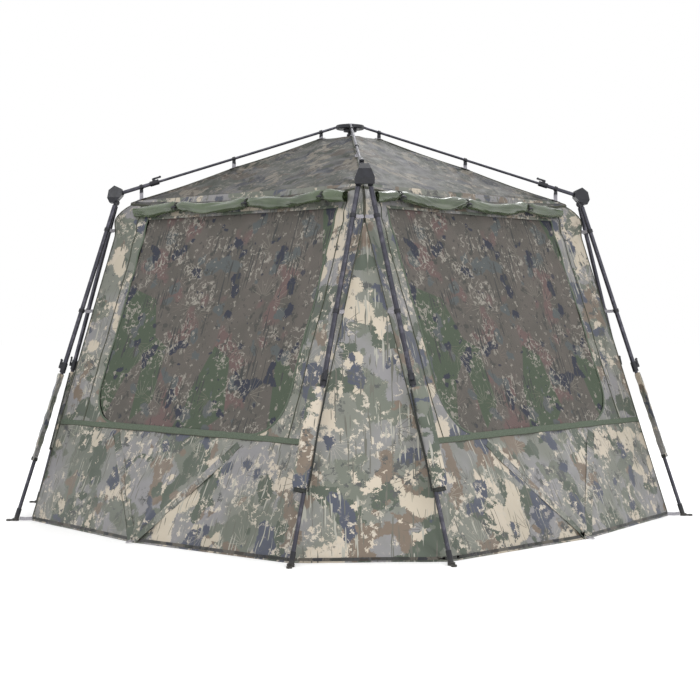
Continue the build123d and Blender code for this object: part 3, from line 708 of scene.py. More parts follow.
class Mesh:
    """Gathers the faces of one piece, with the cloth coordinates and the normals of each corner."""

    def __init__(self):
        self.points = []
        self.cloth = []
        self.faces = []
        self.normals = []
        self.slots = []

    def add(self, points, cloth, faces, normals, slot=0):
        start = len(self.points)
        self.points.extend(np.asarray(points, float).tolist())
        self.cloth.extend(np.asarray(cloth, float).tolist())
        for face, corner_normals in zip(faces, normals):
            self.faces.append([start + index for index in face])
            self.normals.extend(corner_normals)
            self.slots.append(slot)

    def sheet(self, points, cloth, normals, thickness, slot=0):
        """A grid of points as cloth with two sides and a rim; gives back the area of one side."""
        rows, columns = points.shape[:2]
        along_row = points[rows // 2, columns // 2 + 1] - points[rows // 2, columns // 2]
        along_column = points[rows // 2 + 1, columns // 2] - points[rows // 2, columns // 2]
        handed = np.dot(np.cross(along_column, along_row), normals[rows // 2, columns // 2]) > 0
        count = rows * columns
        half = normals * thickness / 2
        every_point = np.concatenate([(points + half).reshape(-1, 3), (points - half).reshape(-1, 3)])
        flat_normals = normals.reshape(-1, 3)
        every_cloth = np.concatenate([cloth.reshape(-1, 3)] * 2)
        faces = []
        corner_normals = []
        for i in range(rows - 1):
            for j in range(columns - 1):
                a = i * columns + j
                ring = [a, a + columns, a + columns + 1, a + 1]
                front = ring if handed else ring[::-1]
                faces.append(front)
                corner_normals.append([flat_normals[k] for k in front])
                faces.append([k + count for k in front[::-1]])
                corner_normals.append([-flat_normals[k] for k in front[::-1]])
        border = list(range(columns))
        border += [i * columns + columns - 1 for i in range(1, rows)]
        border += [(rows - 1) * columns + j for j in range(columns - 2, -1, -1)]
        border += [i * columns for i in range(rows - 2, -1, -1)]
        for a, b in zip(border, border[1:]):
            rim = [a, b, b + count, a + count]
            if not handed:
                rim = rim[::-1]
            first, second, third = (every_point[rim[k]] for k in range(3))
            rim_normal = np.cross(second - first, third - second)
            if np.linalg.norm(rim_normal) < 1e-12:
                continue
            faces.append(rim)
            corner_normals.append([unit(rim_normal)] * 4)
        self.add(every_point, every_cloth, faces, corner_normals, slot)
        quads = np.cross(points[1:, 1:] - points[:-1, :-1], points[1:, :-1] - points[:-1, 1:])
        return float(np.linalg.norm(quads, axis=-1).sum() / 2)

    def ribbon(self, path, normals, width, thickness, slot=0):
        """A flat strap along a path, facing the normals, with slightly rounded edges."""
        path = np.asarray(path, float)
        normals = unit(np.asarray(normals, float))
        tangents = unit(np.gradient(path, axis=0))
        across = unit(np.cross(tangents, normals))
        normals = unit(np.cross(across, tangents))
        profile = [(-0.5, -0.5), (-0.5, 0.15), (-0.44, 0.5), (0.44, 0.5), (0.5, 0.15), (0.5, -0.5)]
        self.sweep(path, across, normals, [(a * width, b * thickness) for a, b in profile], slot)

    def cord(self, path, radius, slot=0, sides=8):
        """A round piping or cord along a path."""
        path = np.asarray(path, float)
        tangents = unit(np.gradient(path, axis=0))
        helper = UP if abs(tangents[0][2]) < 0.8 else np.array([1.0, 0.0, 0.0])
        across = unit(np.cross(tangents, helper))
        normals = unit(np.cross(across, tangents))
        profile = [(radius * math.cos(angle), radius * math.sin(angle)) for angle in circle_angles(sides)]
        self.sweep(path, across, normals, profile, slot, round_section=True)

    def sweep(self, path, across, normals, profile, slot, round_section=False):
        """Pulls a section, given in the across and normal directions, along a path."""
        sides = len(profile)
        points = []
        cloth = []
        for spot, a, n, length in zip(path, across, normals, path_lengths(path)):
            for x, y in profile:
                points.append(spot + a * x + n * y)
                cloth.append((length, x, y))
        points = np.array(points)
        faces = []
        corner_normals = []
        centre = np.mean(profile, axis=0)
        for face in tube_faces(len(path), sides):
            i = face[0] // sides
            flat_normal = unit(np.cross(points[face[2]] - points[face[0]], points[face[3]] - points[face[1]]))
            outward = points[face[0]] - path[i] - across[i] * centre[0] - normals[i] * centre[1]
            if np.dot(flat_normal, outward) < 0:
                face = face[::-1]
                flat_normal = -flat_normal
            faces.append(face)
            if round_section:
                corner_normals.append([unit(points[m] - path[m // sides]) for m in face])
            else:
                corner_normals.append([flat_normal] * 4)
        ends = (-unit(path[1] - path[0]), unit(path[-1] - path[-2]))
        self.close_tube(points, cloth, faces, corner_normals, sides, ends, slot)

    def close_tube(self, points, cloth, faces, corner_normals, sides, ends, slot):
        """Adds a tube with a flat cap at each end, facing the two directions in ends."""
        for start, direction in zip((0, len(points) - sides), ends):
            faces.append(face_toward(points, list(range(start, start + sides)), direction))
            corner_normals.append([direction] * sides)
        self.add(points, cloth, faces, corner_normals, slot)

    def tube_shape(self, rings, cloth, slot=0):
        """A closed skin through rings of points, shaded smoothly."""
        count, sides = rings.shape[:2]
        wrapped = np.concatenate([rings, rings[:, :1]], axis=1)
        normals = unit(np.cross(np.gradient(wrapped, axis=0), np.gradient(wrapped, axis=1)))[:, :-1]
        centre = rings.mean(axis=1, keepdims=True)
        if float(((rings - centre) * normals).sum()) < 0:
            normals = -normals
        faces = []
        corner_normals = []
        points = rings.reshape(-1, 3)
        flat_normals = normals.reshape(-1, 3)
        for face in tube_faces(count, sides):
            made = np.cross(points[face[2]] - points[face[0]], points[face[3]] - points[face[1]])
            if np.dot(made, flat_normals[face[0]] + flat_normals[face[2]]) < 0:
                face = face[::-1]
            faces.append(face)
            corner_normals.append([flat_normals[m] for m in face])
        middles = rings.mean(axis=1)
        ends = (unit(middles[0] - middles[2]), unit(middles[-1] - middles[-3]))
        self.close_tube(points, cloth.reshape(-1, 3), faces, corner_normals, sides, ends, slot)

    def build(self, name, materials):
        mesh = bpy.data.meshes.new(name)
        mesh.from_pydata(self.points, [], self.faces)
        mesh.polygons.foreach_set("use_smooth", [True] * len(self.faces))
        mesh.polygons.foreach_set("material_index", self.slots)
        attribute = mesh.attributes.new("cloth", "FLOAT_VECTOR", "POINT")
        attribute.data.foreach_set("vector", np.asarray(self.cloth, np.float32).ravel())
        for material in materials:
            mesh.materials.append(material)
        mesh.update()
        mesh.normals_split_custom_set([tuple(normal) for normal in self.normals])
        piece = bpy.data.objects.new(name, mesh)
        bpy.context.scene.collection.objects.link(piece)
        return piece


def corner_axes(azimuth):
    turn = math.radians(azimuth)
    cosine, sine = math.cos(turn), math.sin(turn)
    return np.array([[cosine, -sine, 0.0], [sine, cosine, 0.0], [0.0, 0.0, 1.0]])


def unit_vector(vector):
    return vector / np.linalg.norm(vector)


# ---------- what the fabric rides on ----------
def leg_line(corner, side):
    """Pivot, foot and side direction of a leg, in the model's frame."""
    axes = corner_axes(CORNERS[corner])
    start = axes @ np.array([pivot[0], side * pivot[1], pivot[2]])
    end = axes @ np.array([foot[0], side * foot[1], foot[2]])
    return start, end, axes


def gather_to_leg(piece, leg, direction, body=None):
    """Puts fabric on its leg's body, or on the body given, with a mesh of its own."""
    start, end, _ = leg_line(*LEG_CORNER[leg])
    down = unit_vector(end - start)
    sideways = unit_vector(direction - down * float(direction @ down))
    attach(piece, body or f"leg_{leg}")
    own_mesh(piece)


def wall_direction(azimuth):
    turn = math.radians(azimuth)
    return np.array([-math.sin(turn), math.cos(turn), 0.0])


def wall_leg(wall, sign):
    """The leg at the end of a half of a wall."""
    return WALL_LEGS[wall][1 if sign > 0 else 0]


def half_name(sign):
    return "right_half" if sign > 0 else "left_half"


def hang_wall_piece(piece, wall, azimuth, sign):
    """Joins a piece of half a wall to the leg at its end."""
    gather_to_leg(piece, wall_leg(wall, sign), wall_direction(azimuth))
    return piece


# ---------- pieces of a wall ----------
def window_outline():
    """The window's edge from its top middle, down the +s side and round to its bottom middle, as (s, z)."""
    corners = [(0.0, window_top), (window_half, window_top), (window_half, window_bottom + window_corner)]
    arc_middle = (window_half - window_corner, window_bottom + window_corner)
    for index in range(1, 13):
        angle = math.radians(90.0 * index / 12)
        s = arc_middle[0] + window_corner * math.cos(angle)
        corners.append((s, arc_middle[1] - window_corner * math.sin(angle)))
    corners.append((0.0, window_bottom))
    return corners


def spaced(corners, shares):
    """Points at the given shares of the length of a path through the corners."""
    corners = np.asarray(corners, float)
    lengths = path_lengths(corners)
    wanted = np.asarray(shares) * lengths[-1]
    return np.stack([np.interp(wanted, lengths, column) for column in corners.T], axis=-1)


def upper_wall_grid():
    """(s, z) of the ring between the window and the wall's edge, for the +s half of a wall."""
    inner = window_outline()
    header = np.linspace(0.0, 1.0, 46)
    side = np.linspace(0.0, 1.0, 74)[1:]
    sill = np.linspace(0.0, 1.0, 40)[1:]
    stretches = ((inner[:2], header), (inner[1:-1], side), (inner[-2:], sill))
    inner_path = np.concatenate([spaced(corners, shares) for corners, shares in stretches])
    heights = eave_z + (sill_z - eave_z) * side
    edge = seam_along(heights)
    edge_s = np.concatenate([eave_out * header, edge, edge[-1] * (1.0 - sill)])
    edge_z = np.concatenate([eave_z + 0.0 * header, heights, sill_z + 0.0 * sill])
    outer_path = np.stack([edge_s, edge_z], axis=-1)
    share = np.linspace(0.0, 1.0, 27)[None, :, None]
    return inner_path[:, None, :] * (1.0 - share) + outer_path[:, None, :] * share


def declare_sheet(u, v, rests_on):
    """Measures the flat width and length of a sheet's outline in u and v, and does nothing with them."""
    width, length = float(np.ptp(u)), float(np.ptp(v))


def cloth_of(u, v, panel):
    """Flat cloth coordinates of a panel, so that each panel shows another stretch of the print."""
    return np.stack([u, v, 0.0 * u + panel * 1.7], axis=-1)


def make_upper_wall(wall, azimuth, sign, materials, seed):
    grid = upper_wall_grid()
    s = grid[..., 0] * sign
    z = grid[..., 1]
    outward = wall_direction(azimuth - 90.0)
    points, normals = surface_of(wall_surface(azimuth, wall_points, seed), s, z, outward)
    mesh = Mesh()
    area = mesh.sheet(points, cloth_of(s, z, seed), normals, cloth_thickness)
    piece = mesh.build(f"wall_{wall}_{half_name(sign)}", [materials["wall"]])
    declare_sheet(s, z, [f"leg_{wall_leg(wall, sign)}"])
    return hang_wall_piece(piece, wall, azimuth, sign)


def make_skirt(wall, azimuth, sign, materials, seed):
    inside = np.linspace(0.0, 1.0, 22)
    outside = np.linspace(0.0, 1.0, 30)[1:]
    rows = []
    for height in sill_z * (1.0 - np.linspace(0.0, 1.0, 34)):
        fold = max(gusset_half * height / sill_z, 0.004)
        edge = float(seam_along(np.array([height]))[0])
        row = np.concatenate([fold * inside, fold + (edge - fold) * outside])
        rows.append(np.stack([row, np.full_like(row, height)], axis=-1))
    grid = np.array(rows)
    s = grid[..., 0] * sign
    z = np.maximum(grid[..., 1], lowest_cloth)
    outward = wall_direction(azimuth - 90.0)
    points, normals = surface_of(wall_surface(azimuth, lower_out, seed), s, z, outward)
    mesh = Mesh()
    area = mesh.sheet(points, cloth_of(s, z, seed + 20), normals, cloth_thickness)
    piece = mesh.build(f"skirt_{wall}_{half_name(sign)}", [materials["wall"]])
    declare_sheet(s, z, [f"leg_{wall_leg(wall, sign)}"])
    return hang_wall_piece(piece, wall, azimuth, sign)


def make_wall_trim(wall, azimuth, sign, materials, seed):
    """Zip tape, piping, window binding, gusset band and hem binding of half a wall; the hem binding's dark
    print is partly painted shadow along the hem.
    """
    outward = wall_direction(azimuth - 90.0)
    mesh = Mesh()
    slots = {key: index for index, key in enumerate(("tape", "piping", "tie", "wall", "hem"))}

    def line(out_of, corners, count, lift):
        path = spaced(corners, np.linspace(0.0, 1.0, count))
        surface = wall_surface(azimuth, out_of, seed)
        points, normals = surface_of(surface, path[None, :, 0] * sign, path[None, :, 1], outward)
        return points[0] + normals[0] * lift, normals[0]

    def tape(out_of, corners, count, lift, width, thickness, key):
        mesh.ribbon(*line(out_of, corners, count, lift), width, thickness, slots[key])

    def piping(out_of, corners, count, lift, radius, sides=8):
        mesh.cord(line(out_of, corners, count, lift)[0], radius, slots["piping"], sides)

    sill_edge = float(seam_along(np.array([sill_z]))[0])
    hem_edge = float(seam_along(np.array([0.012]))[0])
    zip_line = [(0.0, sill_z + 0.012), (sill_edge - 0.006, sill_z + 0.012)]
    header = [(0.0, window_top + 0.002), (window_half + 0.002, window_top + 0.002)]
    gusset_top = (gusset_half * 0.95, sill_z * 0.95)
    tape(wall_points, zip_line, 60, 0.0022, 0.026, 0.0016, "tape")
    piping(wall_points, [(0.0, sill_z), (sill_edge - 0.004, sill_z)], 60, 0.003, 0.0018)
    piping(wall_points, [(zip_half, sill_z + 0.02), (zip_half, eave_z - 0.02)], 60, 0.0012, 0.0024)
    tape(wall_points, header, 50, 0.0016, 0.014, band_thickness, "wall")
    tape(wall_points, window_outline()[1:], 110, 0.0018, 0.010, band_thickness, "tape")
    for shift in (-0.024, 0.024):
        band = [((gusset_half + shift) * 0.95, sill_z * 0.95), (max(shift, 0.0) + 0.004, 0.012)]
        piping(lower_out, band, 50, 0.0010, 0.0012, sides=6)
    tape(lower_out, [gusset_top, (0.006, 0.010)], 50, 0.0018, 0.046, 0.0012, "wall")
    # The hem band's dark print is partly painted shadow along the hem's bottom edge.
    tape(lower_out, [(0.004, 0.014), (hem_edge - 0.004, 0.014)], 70, 0.0016, 0.014, band_thickness, "hem")
    heights = np.linspace(0.02, eave_z - 0.004, 90)
    edge = seam_along(heights) - 0.002
    out = np.where(heights < sill_z, lower_out(edge, heights, seed), wall_points(edge, heights, seed))
    mesh.cord(on_wall(azimuth, out, edge * sign, heights) + outward * 0.002, 0.0022, slots["piping"])
    piece = mesh.build(f"seams_{wall}_{half_name(sign)}", [materials[key] for key in slots])
    return hang_wall_piece(piece, wall, azimuth, sign)


def make_window(wall, azimuth, materials, seed):
    """The insect mesh panel, round at its lower corners."""
    half = window_half - 0.003
    rows = np.linspace(0.0, 1.0, 56)
    heights = window_bottom + 0.003 + (window_top - 0.003 - window_bottom) * rows
    lift = heights - window_bottom
    inside = np.clip((window_corner - lift) / window_corner, 0.0, 1.0)
    width = half - window_corner * (1.0 - np.sqrt(np.clip(1.0 - inside**2, 0.0, 1.0)))
    columns = np.linspace(-1.0, 1.0, 61)
    s = width[:, None] * columns[None, :]
    z = heights[:, None] + 0.0 * s
    outward = wall_direction(azimuth - 90.0)

    def place(along, height):
        slack = 0.0035 * crumple(along, height, seed + 31, 0.45)
        edge = smooth((half - np.abs(along)) / 0.08) * smooth((height - window_bottom) / 0.08)
        sag = -0.006 * edge + slack * edge * smooth((window_top - height) / 0.08)
        return on_wall(azimuth, plane_out(height) - 0.0022 + sag, along, height)

    points, normals = surface_of(place, s, z, outward)
    mesh = Mesh()
    area = mesh.sheet(points, cloth_of(s, z, 0.0), normals, thin_cloth)
    piece = mesh.build(f"insect_mesh_{wall}", [materials["mesh"]])
    declare_sheet(s, z, [f"wall_{wall}_right_half", f"wall_{wall}_left_half"])
    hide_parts(f"mesh_window_{wall}")
    gather_to_leg(piece, WALL_LEGS[wall][0], wall_direction(azimuth), body=f"window_{wall}")
    return piece


# ---------- rolled storm panels ----------
def tie_distance(wall, s):
    """How far along the wall the nearest tie is."""
    return np.min([np.abs(s - tie) for tie in TIE_PLACES[wall]], axis=0)


def roll_centre(wall, s):
    """The roll sags between its ties and hangs lowest at the middle of the wall."""
    sag = 0.015 * smooth(tie_distance(wall, s) / 0.21) + 0.007 * smooth(1.0 - np.abs(s) / 0.6)
    return roll_out - 0.20 * sag, roll_z + 0.007 - sag


def make_roll(wall, azimuth, sign, materials, seed):
    """A storm panel rolled up as one spiral of cloth, tied in three places."""
    first, last = (0.0, roll_to) if sign > 0 else (roll_from, 0.0)
    along = np.linspace(first, last, 64)
    turns = 5.2
    angles = np.linspace(0.0, 2 * math.pi * turns, int(turns * 22))
    outer = roll_radius - 0.0035
    pitch = 0.0040
    s, angle = np.meshgrid(along, angles, indexing="ij")
    nearest = tie_distance(wall, s)
    radius = outer - pitch * angle / (2 * math.pi)
    pinch = 1.0 - 0.34 * np.exp(-((nearest / 0.022) ** 2)) - 0.10 * smooth((np.abs(s) - 0.62) / 0.12)
    depth = smooth(radius / outer)
    swing = angle + 1.1 * np.sin(7.0 * s + seed) + 0.5 * np.sin(17.0 * s)
    rough = 0.0030 * np.sin(3 * swing) * depth * (0.6 + 0.4 * np.sin(11.0 * s + seed))
    rough = rough + 0.0016 * np.sin(7 * swing + 23.0 * s) * depth
    rough = rough + 0.0030 * np.sin(9 * angle + 60 * (s - nearest)) * np.exp(-nearest / 0.06) * depth
    rough = rough + 0.0035 * crumple(s, 0.0 * s, seed + 40, 0.26) * depth
    radius = radius * pinch + rough
    start_angle = math.radians(205.0) + 0.25 * np.sin(5.0 * s + seed)
    centre_out, centre_z = roll_centre(wall, s)
    turned_angle = start_angle + angle
    out = centre_out + radius * np.cos(turned_angle) * 0.96
    height = centre_z + radius * np.sin(turned_angle)
    points = on_wall(azimuth, out, s, height)
    normals = unit(np.cross(np.gradient(points, axis=0), np.gradient(points, axis=1)))
    middle = on_wall(azimuth, centre_out, s, centre_z)
    if float(((points - middle) * normals).sum()) < 0:
        normals = -normals
    length = roll_radius * angle * 0.62
    mesh = Mesh()
    area = mesh.sheet(points, cloth_of(s, length, seed), normals, thin_cloth)
    half = half_name(sign)
    piece = mesh.build(f"storm_roll_{wall}_{half}", [materials["roll"]])
    gather_to_leg(piece, wall_leg(wall, sign), wall_direction(azimuth))
    return piece


def make_ties(wall, azimuth, sign, materials):
    """Elastic loops and toggles that hold the roll."""
    mesh = Mesh()
    outward = wall_direction(azimuth - 90.0)
    for tie in TIE_PLACES[wall]:
        if (tie >= 0) != (sign > 0):
            continue
        centre_out, centre_z = roll_centre(wall, np.array(tie))
        radius = roll_radius * 0.66
        angle = np.linspace(0.0, 2 * math.pi * 0.985, 25)
        loop_out = centre_out + radius * np.cos(angle)
        loop = on_wall(azimuth, loop_out, tie, centre_z + radius * np.sin(angle) * 0.96)
        middle = on_wall(azimuth, centre_out, tie, centre_z)
        mesh.ribbon(loop, loop - middle, 0.013, 0.0022, 0)
        angle = np.linspace(0.0, 2 * math.pi, 15)
        bow_out = centre_out + radius + 0.004 + 0.003 * np.sin(2 * angle)
        bow_z = centre_z - 0.010 - 0.010 * np.cos(angle)
        mesh.cord(on_wall(azimuth, bow_out, tie + 0.020 * np.sin(angle), bow_z), 0.0018, 0, sides=6)
        share = np.linspace(0.0, 1.0, 9)
        toggle = on_wall(azimuth, centre_out + radius + 0.006, tie - 0.016 + 0.032 * share, centre_z - 0.004)
        swell = 0.0020 + 0.0036 * np.sin(math.pi * np.clip(share, 0.06, 0.94))
        angle = circle_angles(10)
        section = outward * np.cos(angle)[:, None] + UP * np.sin(angle)[:, None]
        rings = toggle[:, None, :] + section[None, :, :] * swell[:, None, None]
        mesh.tube_shape(rings, np.zeros_like(rings), 1)
    piece = mesh.build(f"roll_ties_{wall}_{half_name(sign)}", [materials["tie"], materials["plastic"]])
    gather_to_leg(piece, wall_leg(wall, sign), wall_direction(azimuth))
    return piece


# ---------- corner panels ----------
def corner_out(side, z, seed):
    share = np.abs(side) / seam_side(z)
    slack = 0.004 * crumple(side, z, seed, 0.40) + 0.0018 * crumple(side, z, seed + 3, 0.13)
    slack = slack + 0.010 * folds_from(np.abs(side), z, (0.33, 0.0), 0.22, 9.0, seed)
    slack = slack + 0.006 * folds_from(side, z, (0.0, 1.40), 0.30, 14.0, seed)
    free = smooth((1.0 - share) / 0.10) * smooth((shoulder_split_z - z) / 0.10)
    return seam_radial(z) + slack * free - 0.004 * free


def make_corner_half(corner, azimuth, side_sign, materials, seed):
    heights = np.linspace(lowest_cloth, shoulder_split_z - 0.006, 84)
    share = np.linspace(0.0, 1.0, 17)
    z = heights[:, None] + 0.0 * share[None, :]
    side = seam_side(z) * share[None, :] * side_sign
    outward = on_wall(azimuth, 1.0, 0.0, 0.0)
    surface = wall_surface(azimuth, corner_out, seed)
    points, normals = surface_of(surface, side, z, outward)
    mesh = Mesh()
    area = mesh.sheet(points, cloth_of(side, z, seed), normals, cloth_thickness)
    hem_side = np.linspace(0.004, 1.0, 24) * float(seam_side(np.array([0.014]))[0]) * side_sign * 0.99
    hem_z = 0.014 + 0.0 * hem_side
    hem, hem_normals = surface_of(surface, hem_side[None, :], hem_z[None, :], outward)
    # The hem band's dark print is partly painted shadow along the hem's bottom edge.
    mesh.ribbon(hem[0] + hem_normals[0] * 0.0016, hem_normals[0], 0.014, band_thickness, 1)
    leg = CORNER_LEGS[corner][1 if side_sign > 0 else 0]
    ending = "plus_half" if side_sign > 0 else "minus_half"
    piece = mesh.build(f"corner_{corner}_{ending}", [materials["corner"], materials["hem"]])
    declare_sheet(side, z, [f"upper_leg_{leg}", f"lower_leg_{leg}"])
    gather_to_leg(piece, leg, on_wall(azimuth, 0.0, 1.0, 0.0))
    return piece


# ---------- roof ----------
def roof_height(out, along):
    """The canopy: four faces and a small flat top, pulled up at the straps and slack between them."""
    slope = (roof_top_z - eave_z) / (eave_out - roof_top_half)
    drop = np.maximum(out - roof_top_half, 0.0) * slope
    blend = 0.018
    softened = 0.5 * (out - roof_top_half + np.sqrt((out - roof_top_half) ** 2 + blend**2)) * slope
    drop = np.minimum(np.maximum(softened, 0.0), drop + 0.01)
    share = np.clip(along / np.maximum(out, 0.001), -1.0, 1.0)
    radial = out * math.sqrt(2.0)
    ridge = np.interp(radial, ridge_radials, ridge_dips)
    middle = 0.020 * smooth(out / 0.5) * (1.0 - share**2)
    middle = middle + 0.012 * smooth((out - 0.72) / 0.08) * (1.0 - share**4)
    return roof_top_z + 0.0022 - drop - ridge * np.abs(share) ** 3 - middle


def roof_point(azimuth, out, along, seed):
    height = roof_height(out, along)
    share = np.abs(along) / np.maximum(out, 0.001)
    slack = 0.004 * crumple(out, along, seed, 0.35) + 0.0022 * crumple(out, along, seed + 7, 0.12)
    side = np.abs(along)
    slack = slack + 0.008 * folds_from(out, side, (0.760, 0.760), 0.25, 12.0, seed)
    slack = slack + 0.006 * folds_from(out, side, (0.424, 0.424), 0.16, 9.0, seed + 1)
    slack = slack + 0.005 * folds_from(out, side, (0.106, 0.106), 0.16, 9.0, seed + 2)
    free = smooth((1.0 - share) / 0.06) * smooth((eave_out + 0.004 - out) / 0.05)
    free = free * smooth(out / 0.15)
    return on_wall(azimuth, out, along, height + slack * free)


def make_roof_half(corner, azimuth, half_sign, materials):
    """An eighth of the canopy: the half of a roof face that lies beside an arm."""
    wall_azimuth = azimuth - 45.0 * half_sign
    seed = roof_seed + int(round((wall_azimuth + 360.0) % 360.0 / 90.0))
    edge_reach = eave_out + roof_overhang
    mesh = Mesh()
    out = np.concatenate([np.linspace(0.003, 0.10, 9), np.linspace(0.112, edge_reach, 58)])
    share = np.linspace(0.0, 1.0, 40)
    grid_out = out[:, None] + 0.0 * share[None, :]
    grid_along = grid_out * share[None, :] * half_sign

    def place(u, v):
        return roof_point(wall_azimuth, u, v, seed)

    points, normals = surface_of(place, grid_out, grid_along, (0.0, 0.0, 1.0))
    area = mesh.sheet(points, cloth_of(grid_along, grid_out * 1.11, seed), normals, cloth_thickness)
    if half_sign > 0:
        ridge_out = np.linspace(0.10, edge_reach - 0.002, 60)
        ridge = roof_point(wall_azimuth, ridge_out, ridge_out, seed) + UP * 0.0014
        mesh.cord(ridge, 0.0024, 1)
    along = np.linspace(0.0, edge_reach - 0.002, 50) * half_sign
    edge = roof_point(wall_azimuth, edge_reach + 0.0 * along, along, seed)
    outward = on_wall(wall_azimuth, 1.0, 0.0, 0.0)
    wave = 0.004 * crumple(along, 0.0 * along, seed, 0.16)
    lifted = edge + outward[None, :] * (0.001 + 0.3 * wave[:, None]) - UP * 0.005
    mesh.ribbon(lifted, repeated(outward, len(edge)), 0.011, band_thickness, 1)
    side = "plus_half" if half_sign > 0 else "minus_half"
    piece = mesh.build(f"roof_{corner}_{side}", [materials["roof"], materials["piping"]])
    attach(piece, f"arm_{corner}")
    top = on_wall(wall_azimuth, 0.106, 0.106 * half_sign, roof_top_z)
    corner_end = on_wall(wall_azimuth, eave_out, eave_out * half_sign, eave_z)
    middle = on_wall(wall_azimuth, eave_out, 0.0, eave_z)
    ridge_line = unit_vector(corner_end - top)
    across = middle - top
    across = unit_vector(across - ridge_line * float(across @ ridge_line))
    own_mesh(piece)
    return piece


# ---------- straps, clips and sleeves ----------
def arm_z(radial):
    slope = (knuckle[2] - hub_hinge[2]) / (knuckle[0] - hub_hinge[0])
    return hub_hinge[2] + slope * (radial - hub_hinge[0])


def circle_path(centre, axis, start, radius, count, share=0.97):
    """Points round an axis, and their outward directions."""
    axis = unit_vector(axis)
    first = unit_vector(start - axis * float(start @ axis))
    second = np.cross(axis, first)
    angle = np.linspace(0.0, 2 * math.pi * share, count)[:, None] + math.pi * (1 - share)
    facing = first * np.cos(angle) + second * np.sin(angle)
    return centre + facing * radius, facing


def make_hang_straps(corner, azimuth, materials):
    """Webbing hangers from the ridge up to clips round the arm."""
    axes = corner_axes(azimuth)
    arm_axis = axes @ unit_vector(np.array([knuckle[0] - hub_hinge[0], 0.0, knuckle[2] - hub_hinge[2]]))
    share = np.linspace(0.0, 1.0, 12)
    bulge = np.sin(math.pi * share)

    def ridge_height(radial):
        return roof_height(radial * HALF_TURN, radial * HALF_TURN)

    def turned(first, second, third):
        """Rows of points or directions, given along the arm, across it and up."""
        return np.stack(np.broadcast_arrays(first, second, third), axis=-1) @ axes.T

    for index, radial in enumerate(strap_radials):
        mesh = Mesh()
        on_outer = radial > outer_arm_from
        tube = outer_arm_radius if on_outer else inner_arm_radius
        centre = axes @ np.array([radial, 0.0, arm_z(radial)])
        path, facing = circle_path(centre, arm_axis, -UP, tube + 0.0022, 22)
        mesh.ribbon(path, facing, 0.016, ring_thickness, 1)
        bottom = ridge_height(radial) + 0.003
        top = arm_z(radial) - tube - 0.004
        buckle = turned(radial, 0.0, top + 0.001 - 0.017 * np.linspace(0.0, 1.0, 4))
        mesh.ribbon(buckle, repeated(axes[:, 1], 4), 0.018, 0.007, 1)
        web = turned(radial, 0.003 * bulge, bottom + (top - 0.010 - bottom) * share)
        turn = 0.35 * bulge * (1 if index != 1 else -1)
        mesh.ribbon(web, turned(np.sin(turn), np.cos(turn), 0.0), 0.020, strap_thickness, 0)
        spot = radial + np.linspace(-0.022, 0.022, 9)
        patch = turned(spot, 0.0, ridge_height(spot) + 0.0042)
        mesh.ribbon(patch, repeated(UP, 9), 0.016, strap_thickness, 0)
        piece = mesh.build(f"roof_hanger_{corner}_{index + 1}", [materials["webbing"], materials["plastic"]])
        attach(piece, f"arm_end_{corner}" if on_outer else f"arm_{corner}")
        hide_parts("canopy_hang_straps")


def make_hub_strap(materials):
    mesh = Mesh()
    path = spaced([(0.0, 0.0, 1.961), (0.003, 0.0, 1.943), (0.0, 0.0, 1.926)], np.linspace(0.0, 1.0, 10))
    mesh.ribbon(path, repeated((1.0, 0.0, 0.0), 10), 0.022, 0.003, 0)
    patch = spaced([(0.0, -0.016, 1.9268), (0.0, 0.016, 1.9268)], np.linspace(0.0, 1.0, 6))
    mesh.ribbon(patch, repeated(UP, 6), 0.030, 0.002, 0)
    piece = mesh.build("hub_hanger", [materials["tie"]])
    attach(piece, ROOT)
    return piece


def leg_axes(corner, side):
    """The leg's pivot, its direction down, its sideways direction and its outer direction, and its length."""
    start, end, axes = leg_line(corner, side)
    length = float(np.linalg.norm(end - start))
    down = (end - start) / length
    outer = axes @ np.array([1.0, 0.0, 0.0])
    outer = unit_vector(outer - down * float(outer @ down))
    sideways = np.cross(down, outer)
    return start, down, sideways, outer, length


def make_leg_clips(leg, materials):
    """Tabs that tie the corner seam to the leg, each with a ring round the pole."""
    corner, side = LEG_CORNER[leg]
    azimuth = CORNERS[corner]
    start, down, _, outer, length = leg_axes(corner, side)
    mesh = Mesh()
    for share in (0.09, 0.35):
        centre = start + down * length * share
        path, facing = circle_path(centre, down, -outer, leg_tube_radius + 0.0020, 24)
        mesh.ribbon(path, facing, 0.018, ring_thickness, 1)
        z = np.array(centre[2])
        seam = on_wall(azimuth, seam_radial(z), side * seam_side(z), z)
        run = unit_vector(seam - centre)
        ends = [centre + run * (leg_tube_radius + 0.002), seam + run * -0.002]
        path = spaced(ends, np.linspace(0.0, 1.0, 8))
        path = path - np.outer(np.sin(np.linspace(0.0, math.pi, 8)), [0.0, 0.0, 0.003])
        mesh.ribbon(path, repeated(np.cross(run, down), 8), 0.016, strap_thickness, 0)
    piece = mesh.build(f"pole_clips_{leg}", [materials["webbing"], materials["plastic"]])
    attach(piece, f"leg_{leg}")
    return piece


